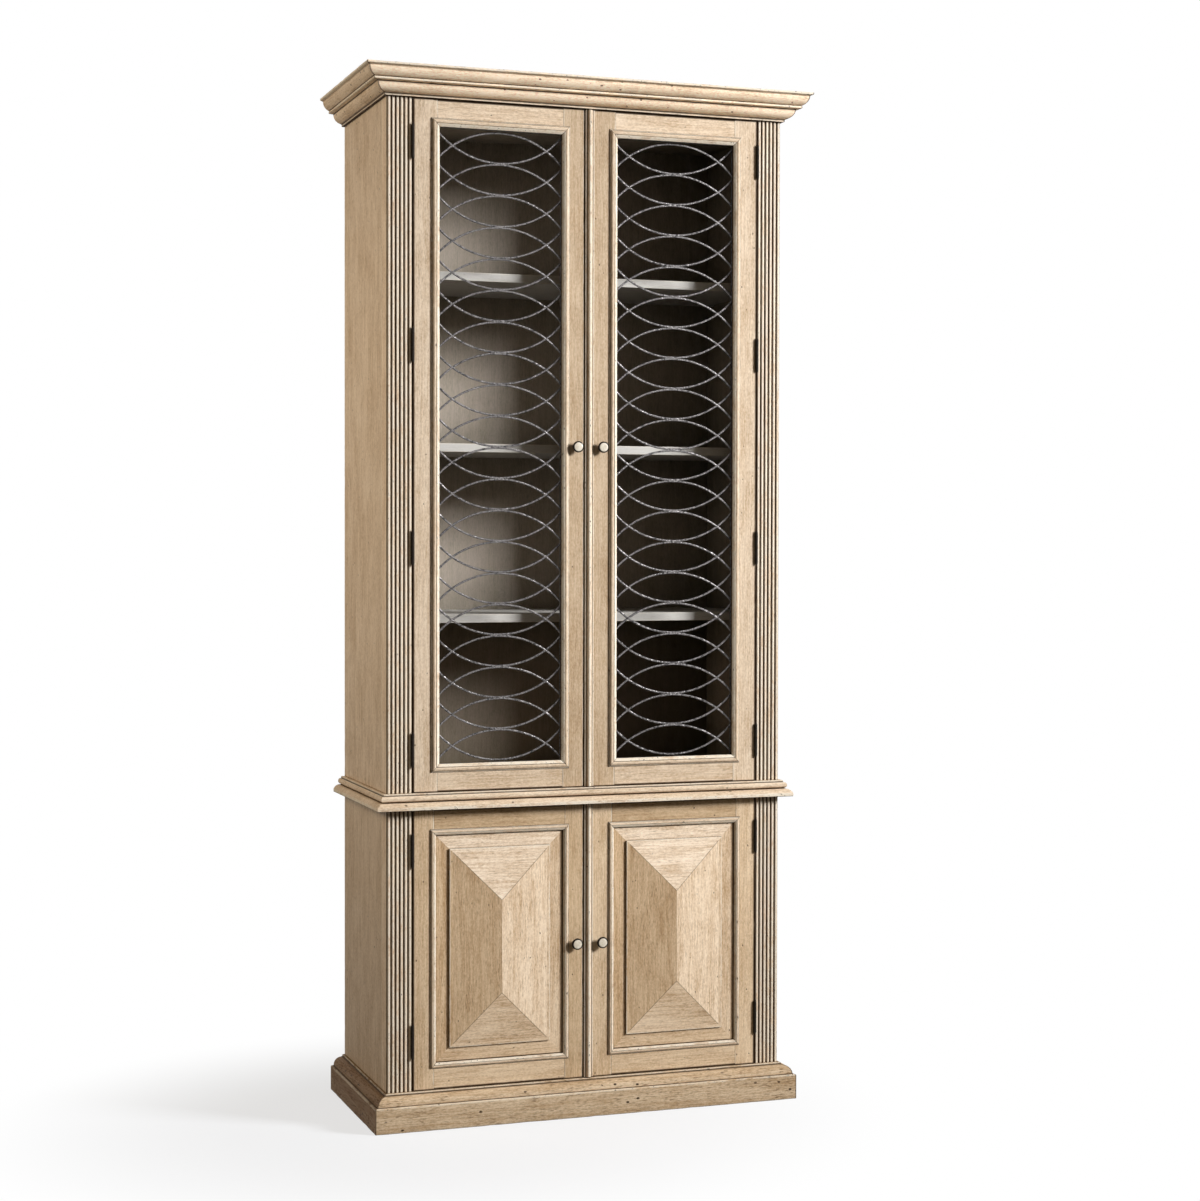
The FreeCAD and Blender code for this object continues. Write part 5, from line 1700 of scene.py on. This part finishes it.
@dataclass
class GrilleDoor(Door):
    """A door whose opening holds a grille of interlaced arcs."""

    rows: int = 20
    bar: float = 4.6
    bar_steps: int = 150
    bar_shoulder: float = 0.9
    bar_crown: tuple = (0.72, 0.25)
    seed_reach: float = 50.0
    end_gap: float = 4.5
    pair_offset: float = 3.1
    crossing_inset: float = 34.5
    edge_bar: float = 12.0
    edge_bar_recess: float = 0.2
    hammer_depth: float = 0.9
    hammer_scale: float = 0.29
    sway: float = 0.35
    sway_scale: float = 0.28

    def arc(self, piece: Piece, middle: Vector, radius: float, span: float, way: float, thick: float) -> None:
        """One bent bar with a crowned, hammered face.

        Args:
            piece: The piece being made.
            middle: Centre of the arc's circle, on the grille's front.
            radius: Its radius.
            span: Half the width that it reaches.
            way: 1 where it bows upward, -1 where it bows downward.
            thick: Thickness of the bar.
        """
        limit = math.asin(span / radius)
        half = self.bar / 2
        share, drop = self.bar_crown
        section = ((-half, thick), (-half, self.bar_shoulder), (-half * share, drop), (0, 0),
                   (half * share, drop), (half, self.bar_shoulder), (half, thick))
        seed = piece.drawn(0, self.seed_reach)
        rings = []
        for i in range(self.bar_steps + 1):
            angle = -limit + 2 * limit * i / self.bar_steps
            out = Vector((math.sin(angle), 0, math.cos(angle) * way))
            ring = []
            for across, depth in section:
                point = middle + out * (radius + across) + REARWARD * depth
                if depth < thick:
                    sunk = max(noise.noise(point * self.hammer_scale + seed), 0)
                    point += REARWARD * (self.hammer_depth * sunk)
                    point += out * (self.sway * noise.noise(point * self.sway_scale - seed))
                ring.append(point)
            rings.append(ring)
        piece.skin(rings, piece.timber(RIGHT, UP))

    def infill(self) -> None:
        """The grille: an edge bar round it and pairs of arcs that cross at both sides."""
        low, high = corners_of(self.stem + "_grille")
        open_low, open_high = self.opening()
        width, height = open_high.x - open_low.x, open_high.z - open_low.z
        pitch = (height - 2 * self.end_gap + self.pair_offset) / self.rows
        sagitta = (pitch - self.pair_offset) / 2
        chord = width / 2 - self.crossing_inset
        radius = (chord ** 2 + sagitta ** 2) / (2 * sagitta)
        middle_x = (open_low.x + open_high.x) / 2
        edge = self.edge_bar
        span = (high.x - low.x) / 2 - edge / 2
        piece = Piece(self.stem + "_arc_grille")
        for row in range(self.rows):
            level = open_low.z + self.end_gap + sagitta + row * pitch
            for way in (1, -1):
                centre = Vector((middle_x, low.y, level + way * (sagitta - radius)))
                self.arc(piece, centre, radius, span, way, high.y - low.y)
        front = low.y + self.edge_bar_recess
        for left, foot, right, head in ((low.x, low.z, low.x + edge, high.z),
                                        (high.x - edge, low.z, high.x, high.z),
                                        (low.x + edge, low.z, high.x - edge, low.z + edge),
                                        (low.x + edge, high.z - edge, high.x - edge, high.z)):
            piece.board((left, front, foot), (right, high.y, head), ease=0.3, wear=0.0)
        self.place(piece, self.palette.grille, "grille_metal", "grille")


@dataclass
class PanelDoor(Door):
    """A door whose opening holds a raised panel with four slopes."""

    moulding_width: float = 13.0
    moulding_height: float = 7.0
    lip_depth: float = 2.9
    recess: float = 3.0
    plate: float = 14.0
    play: float = 0.2
    margin: float = 33.0
    underlap: float = 4.0
    step: float = 5.0
    rise: float = 15.0
    rim: float = 8.0
    rim_rise: float = 0.3
    line: float = 1.1
    mitre_line: float = 1.2
    mitre_glaze: float = 0.75
    ridge_glaze: float = 0.25
    # Painted light and shade: each slope and each side of the margin is lighter or darker for the side that
    # the light falls on, left, right, upper and lower
    shading_tones: tuple = (0.93, 1.13, 1.25, 1.08)
    margin_shading_tones: tuple = (0.91, 1.05, 1.22, 1.0)

    def infill(self) -> None:
        """The panel: a plate veneered on its margin, and a raised field of four veneered slopes."""
        open_low, open_high = self.opening()
        face = corners_of(self.stem + "_stiles")[0].y + self.recess
        piece = Piece(self.stem + "_raised_panel")
        seen = self.lip - self.play
        lip = Vector((seen, 0, seen))
        self.plates(piece, open_low - lip, open_high + lip, face)
        inset = Vector((self.margin, 0, self.margin))
        self.field(piece, open_low + inset, open_high - inset, face)
        self.place(piece, self.palette.panel, "panel_wood", "panel")

    def plates(self, piece: Piece, low: Vector, high: Vector, face: float) -> None:
        """The plate, whose margin is laid in four mitred lengths, lighter or darker side by side as painted
        light and shade, with glaze next to the moulding that is partly its painted shadow.

        Args:
            piece: The piece being made.
            low: Its lower left corner.
            high: Its upper right corner.
            face: Y of its face.
        """
        seen = self.lip - self.play
        insets = (0, seen + self.line, seen + 2.4 * self.line, self.margin + self.lip + self.underlap)
        loops = [upright(low, high, 0, face + self.plate)]
        loops += [upright(low, high, inset, face) for inset in insets]
        # Glaze on the margin next to the moulding, partly painted shadow of the moulding
        self.walls(piece, loops, self.margin_shading_tones, ((1, 0), (1, 0), (1, 0), (0, 0), (0, 0)))
        back = piece.timber(UP, REARWARD)
        piece.add(loops[0], [(3, 2, 1, 0)], back)
        piece.add(loops[-1], [(0, 1, 2, 3)], back)

    def walls(self, piece: Piece, loops: list[list[Vector]], shading_tones: Sequence[float],
              ages: Sequence[Pair]) -> None:
        """Faces between neighbouring loops, with the grain along each side.

        Args:
            piece: The piece being made.
            loops: The loops, each of four corners.
            shading_tones: Brightness of the left, right, upper and lower side, which paints light and shade.
            ages: Marks of age, one for each loop.
        """
        sides = ((3, 0, UP), (1, 2, UP), (2, 3, RIGHT), (0, 1, RIGHT))
        for (start, end, along), tone in zip(sides, shading_tones):
            grain = piece.timber(along, REARWARD, tone)
            for number, (outer, inner) in enumerate(zip(loops, loops[1:])):
                marks = [ages[number]] * 2 + [ages[number + 1]] * 2
                corners = [outer[start], outer[end], inner[end], inner[start]]
                piece.add(corners, [(0, 1, 2, 3)], grain, marks=marks)

    def field(self, piece: Piece, low: Vector, high: Vector, face: float) -> None:
        """Four slopes over a low step and a narrow rim, each a veneer of its own, lighter or darker by its
        shading tone as painted light and shade, with glaze at the step's foot that is partly painted shadow.

        Args:
            piece: The piece being made.
            low: Lower left corner of the field.
            high: Upper right corner.
            face: Y of the plate that it stands on.
        """
        top = face - self.step
        places = ((0.0, face), (0.0, top + 0.6), (0.2, top + 0.15), (0.8, top),
                  (3.0, top - self.rim_rise / 2), (self.rim, top - self.rim_rise))
        loops = [upright(low, high, inset, y) for inset, y in places]
        # Glaze at the foot of the step, partly painted shadow of the field
        self.walls(piece, loops, self.shading_tones, ((1.0, 0), (0.7, 0), (0, 1.0), (0, 1.0), (0, 0), (0, 0)))
        piece.add(loops[0], [(3, 2, 1, 0)], piece.timber(UP, REARWARD))
        half = (high.x - low.x) / 2
        middle = (low.x + high.x) / 2
        lower = Vector((middle, top - self.rise, low.z + half))
        upper = Vector((middle, top - self.rise, high.z - half))
        rim = loops[-1]
        slopes = (([rim[3], rim[0], lower, upper], UP), ([rim[1], rim[2], upper, lower], UP),
                  ([rim[2], rim[3], upper], RIGHT), ([rim[0], rim[1], lower], RIGHT))
        for (corners, along), tone in zip(slopes, self.shading_tones):
            self.slope(piece, corners, piece.timber(along, REARWARD, tone))

    def slope(self, piece: Piece, corners: list[Vector], grain: int) -> None:
        """One slope, with glaze along its mitres.

        Args:
            piece: The piece being made.
            corners: Its corners, the two at its foot first.
            grain: Number of its grain.
        """
        total = len(corners)
        facing = (corners[1] - corners[0]).cross(corners[2] - corners[0]).normalized()
        ways = [(corners[(i + 1) % total] - corners[i]).normalized() for i in range(total)]
        inner = []
        for i, corner in enumerate(corners):
            before, after = facing.cross(ways[i - 1]), facing.cross(ways[i])
            inner.append(corner + (before + after) * (self.mitre_line / (1 + before.dot(after))))
        glazes = [0.0] + [self.mitre_glaze] * (total - 1)
        if total == 4:
            glazes[2] = self.ridge_glaze
        for i, glaze in enumerate(glazes):
            k = (i + 1) % total
            marks = [(glaze, 0.0)] * 2 + [(0.0, 0.0)] * 2
            piece.add([corners[i], corners[k], inner[k], inner[i]], [(0, 1, 2, 3)], grain, marks=marks)
        piece.add(inner, [tuple(range(total))], grain)


@dataclass
class CarriedOver:
    """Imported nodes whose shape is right, given their finish in place."""

    palette: Palette

    def dress(self, node: str, material: bpy.types.Material) -> None:
        """Give a node its material and the timber coordinates that its finish reads.

        Args:
            node: Name of the node.
            material: The material.
        """
        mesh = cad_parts[node].data
        mesh.materials.clear()
        mesh.materials.append(material)
        low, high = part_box(node)
        size = high - low
        order = sorted(range(3), key=lambda i: -size[i])
        chance = random.Random(node)
        shift = [chance.uniform(-GRAIN_SPREAD, GRAIN_SPREAD) for _ in range(3)]
        places: list[float] = []
        for loop in mesh.loops:
            point = mesh.vertices[loop.vertex_index].co
            places += [point[axis] + shift[i] for i, axis in enumerate(order)]
        keep_vectors(mesh, "grain", places)
        keep_vectors(mesh, "age", [1.0, 0.0, 0.0] * len(mesh.loops))
        LOG.info("%s keeps its packed shape", node)

    def build(self) -> None:
        """Dress every node that nothing replaces."""
        palette = self.palette
        by_node = dict.fromkeys(("plinth_back", "base_floor", "hutch_roof"), palette.inside)
        by_node |= dict.fromkeys(("levelling_feet", "door_catches"), palette.plastic)
        by_node |= dict.fromkeys(("shelf_pins", "joining_screws"), palette.steel)
        by_node["case_hinge_screws"] = palette.hinge
        for hand in Hand:
            by_node[door_stem(Tier.UPPER, hand) + "_retainers"] = palette.case
            for tier in Tier:
                by_node[door_stem(tier, hand) + "_fasteners"] = palette.steel
        for node, material in by_node.items():
            self.dress(node, material)


# Studio

def in_scene(name: str, data: Any) -> bpy.types.Object:
    """A new object of the scene.

    Args:
        name: Its name.
        data: What it shows.

    Returns:
        The object.
    """
    item = bpy.data.objects.new(name, data)
    bpy.context.scene.collection.objects.link(item)
    return item


@dataclass(frozen=True)
class Lamp:
    """One soft box, with lengths in metres, power in watts and the angle of its beam in degrees."""

    name: str
    place: Triple
    aim: Triple
    size: Pair
    power: float
    spread: float
    colour: Triple

    def build(self) -> None:
        """Hang the lamp."""
        data = bpy.data.lights.new(self.name, "AREA")
        data.shape = "RECTANGLE"
        data.size, data.size_y = self.size
        data.energy = self.power
        data.spread = math.radians(self.spread)
        data.color = self.colour
        place = Vector(self.place)
        turn = (Vector(self.aim) - place).to_track_quat("-Z", "Y").to_matrix().to_4x4()
        in_scene(self.name, data).matrix_world = Matrix.Translation(place) @ turn


@dataclass
class Studio:
    """Floor, lamps, world and camera."""

    eye: Triple = (-1.75795, -5.22068, 1.36413)
    yaw: float = 0.340603
    pitch: float = -0.018634
    roll: float = 0.001959
    focal_px: float = 2259.645
    image_width_px: float = 1200.0
    image_height_px: float = 1201.0
    principal_y_px: float = 580.0
    sensor_mm: float = 36.0
    world_glow: Colour = (1.0, 0.84, 0.65, 1)
    world_strength: float = 0.105
    floor_reach: float = 14.0
    floor_glow: Colour = (0.13, 0.115, 0.09, 1)
    floor_seen: Colour = (0.91, 0.935, 0.985, 1)
    lamps: tuple = (
        Lamp("key", (6.0, -4.6, 4.0), (0.1, -0.1, 1.52), (2.0, 2.1), 91.0, 52.0, (0.965, 0.985, 1.02)),
        Lamp("side", (-2.7, 0.25, 2.3), (-0.5, 0.0, 1.5), (1.4, 1.4), 8.0, 90.0, (1.0, 0.87, 0.69)))

    def camera(self) -> None:
        """The camera at the picture's place, turned the same way."""
        ahead = Vector((math.sin(self.yaw), math.cos(self.yaw), 0))
        forward = ahead * math.cos(self.pitch) + UP * math.sin(self.pitch)
        upward = UP * math.cos(self.pitch) - ahead * math.sin(self.pitch)
        side = Vector((math.cos(self.yaw), -math.sin(self.yaw), 0))
        right = side * math.cos(self.roll) + upward * math.sin(self.roll)
        above = upward * math.cos(self.roll) - side * math.sin(self.roll)
        turn = Matrix((right, above, -forward)).transposed().to_4x4()
        data = bpy.data.cameras.new("camera")
        data.sensor_fit = "HORIZONTAL"
        data.sensor_width = self.sensor_mm
        data.lens = self.focal_px / self.image_width_px * self.sensor_mm
        data.shift_y = (self.principal_y_px - self.image_height_px / 2) / self.image_width_px
        data.dof.use_dof = False
        item = in_scene("camera", data)
        item.matrix_world = Matrix.Translation(Vector(self.eye)) @ turn
        bpy.context.scene.camera = item

    def world(self) -> None:
        """Even light, seen as white."""
        world = bpy.data.worlds.new("studio")
        bpy.context.scene.world = world
        world.use_nodes = True
        w = Wiring(world.node_tree)
        path = w.node("LightPath").outputs
        seen = w.larger(w.larger(path["Is Camera Ray"], path["Is Glossy Ray"]), path["Is Transmission Ray"])
        w.fill(world.node_tree.nodes["Background"], {
            "Color": w.mixed(seen, self.world_glow, (1, 1, 1, 1)),
            "Strength": w.ranged(seen, 0.0, 1.0, self.world_strength, 1.0)})

    def floor(self) -> None:
        """A pale floor that keeps the cabinet's shadow and turns white away from it."""
        reach = self.floor_reach
        mesh = bpy.data.meshes.new("floor")
        corners = [(-reach, -reach, 0), (reach, -reach, 0), (reach, reach, 0), (-reach, reach, 0)]
        mesh.from_pydata(corners, [], [(0, 1, 2, 3)])
        material, w, shader = fresh_material("floor_paint")
        place = w.node("TexCoord").outputs["Object"]
        centre = w.node("VectorMath", {0: place, 1: (-0.35, -0.1, 0)}, operation="SUBTRACT").outputs[0]
        oval = w.scaled(centre, (1, 1.15, 1))
        distance = w.node("VectorMath", {0: oval}, operation="LENGTH").outputs["Value"]
        path = w.node("LightPath").outputs
        seen = w.larger(path["Is Camera Ray"], path["Is Glossy Ray"])
        away = w.times(w.ranged(distance, 0.40, 1.15, 0.69, 1.0), seen)
        glow = w.node("Emission", {"Color": (1, 1, 1, 1), "Strength": 1.0})
        w.fill(shader, {"Base Color": w.mixed(seen, self.floor_glow, self.floor_seen), "Roughness": 0.85,
                        "Specular IOR Level": 0.1})
        both = w.node("MixShader", {0: away, 1: shader.outputs[0], 2: glow.outputs[0]})
        w.fill(w.tree.nodes["Material Output"], {"Surface": both.outputs[0]})
        mesh.materials.append(material)
        item = in_scene("floor", mesh)

    def build(self) -> None:
        """Set the stage, lamps and camera."""
        self.world()
        self.floor()
        for lamp in self.lamps:
            lamp.build()
        self.camera()
        bpy.context.scene.view_settings.view_transform = "Standard"


def main() -> None:
    """Build the cabinet's sub-assemblies in order, then the studio."""
    logging.basicConfig(level=logging.INFO, format="%(message)s", stream=sys.stdout)
    case = Carcass.read()
    palette = Palette()
    parts: list[Any] = [EdgeMouldings(case, palette), WaistBoards(case, palette), Cases(palette),
                        Hinges(palette), Knobs(palette)]
    parts += [GrilleDoor(palette, Tier.UPPER, hand) for hand in Hand]
    parts += [PanelDoor(palette, Tier.LOWER, hand) for hand in Hand]
    parts += [CarriedOver(palette), Studio()]
    for part in parts:
        part.build()
        LOG.info("%s is done", type(part).__name__)


if __name__ == "__main__":
    main()
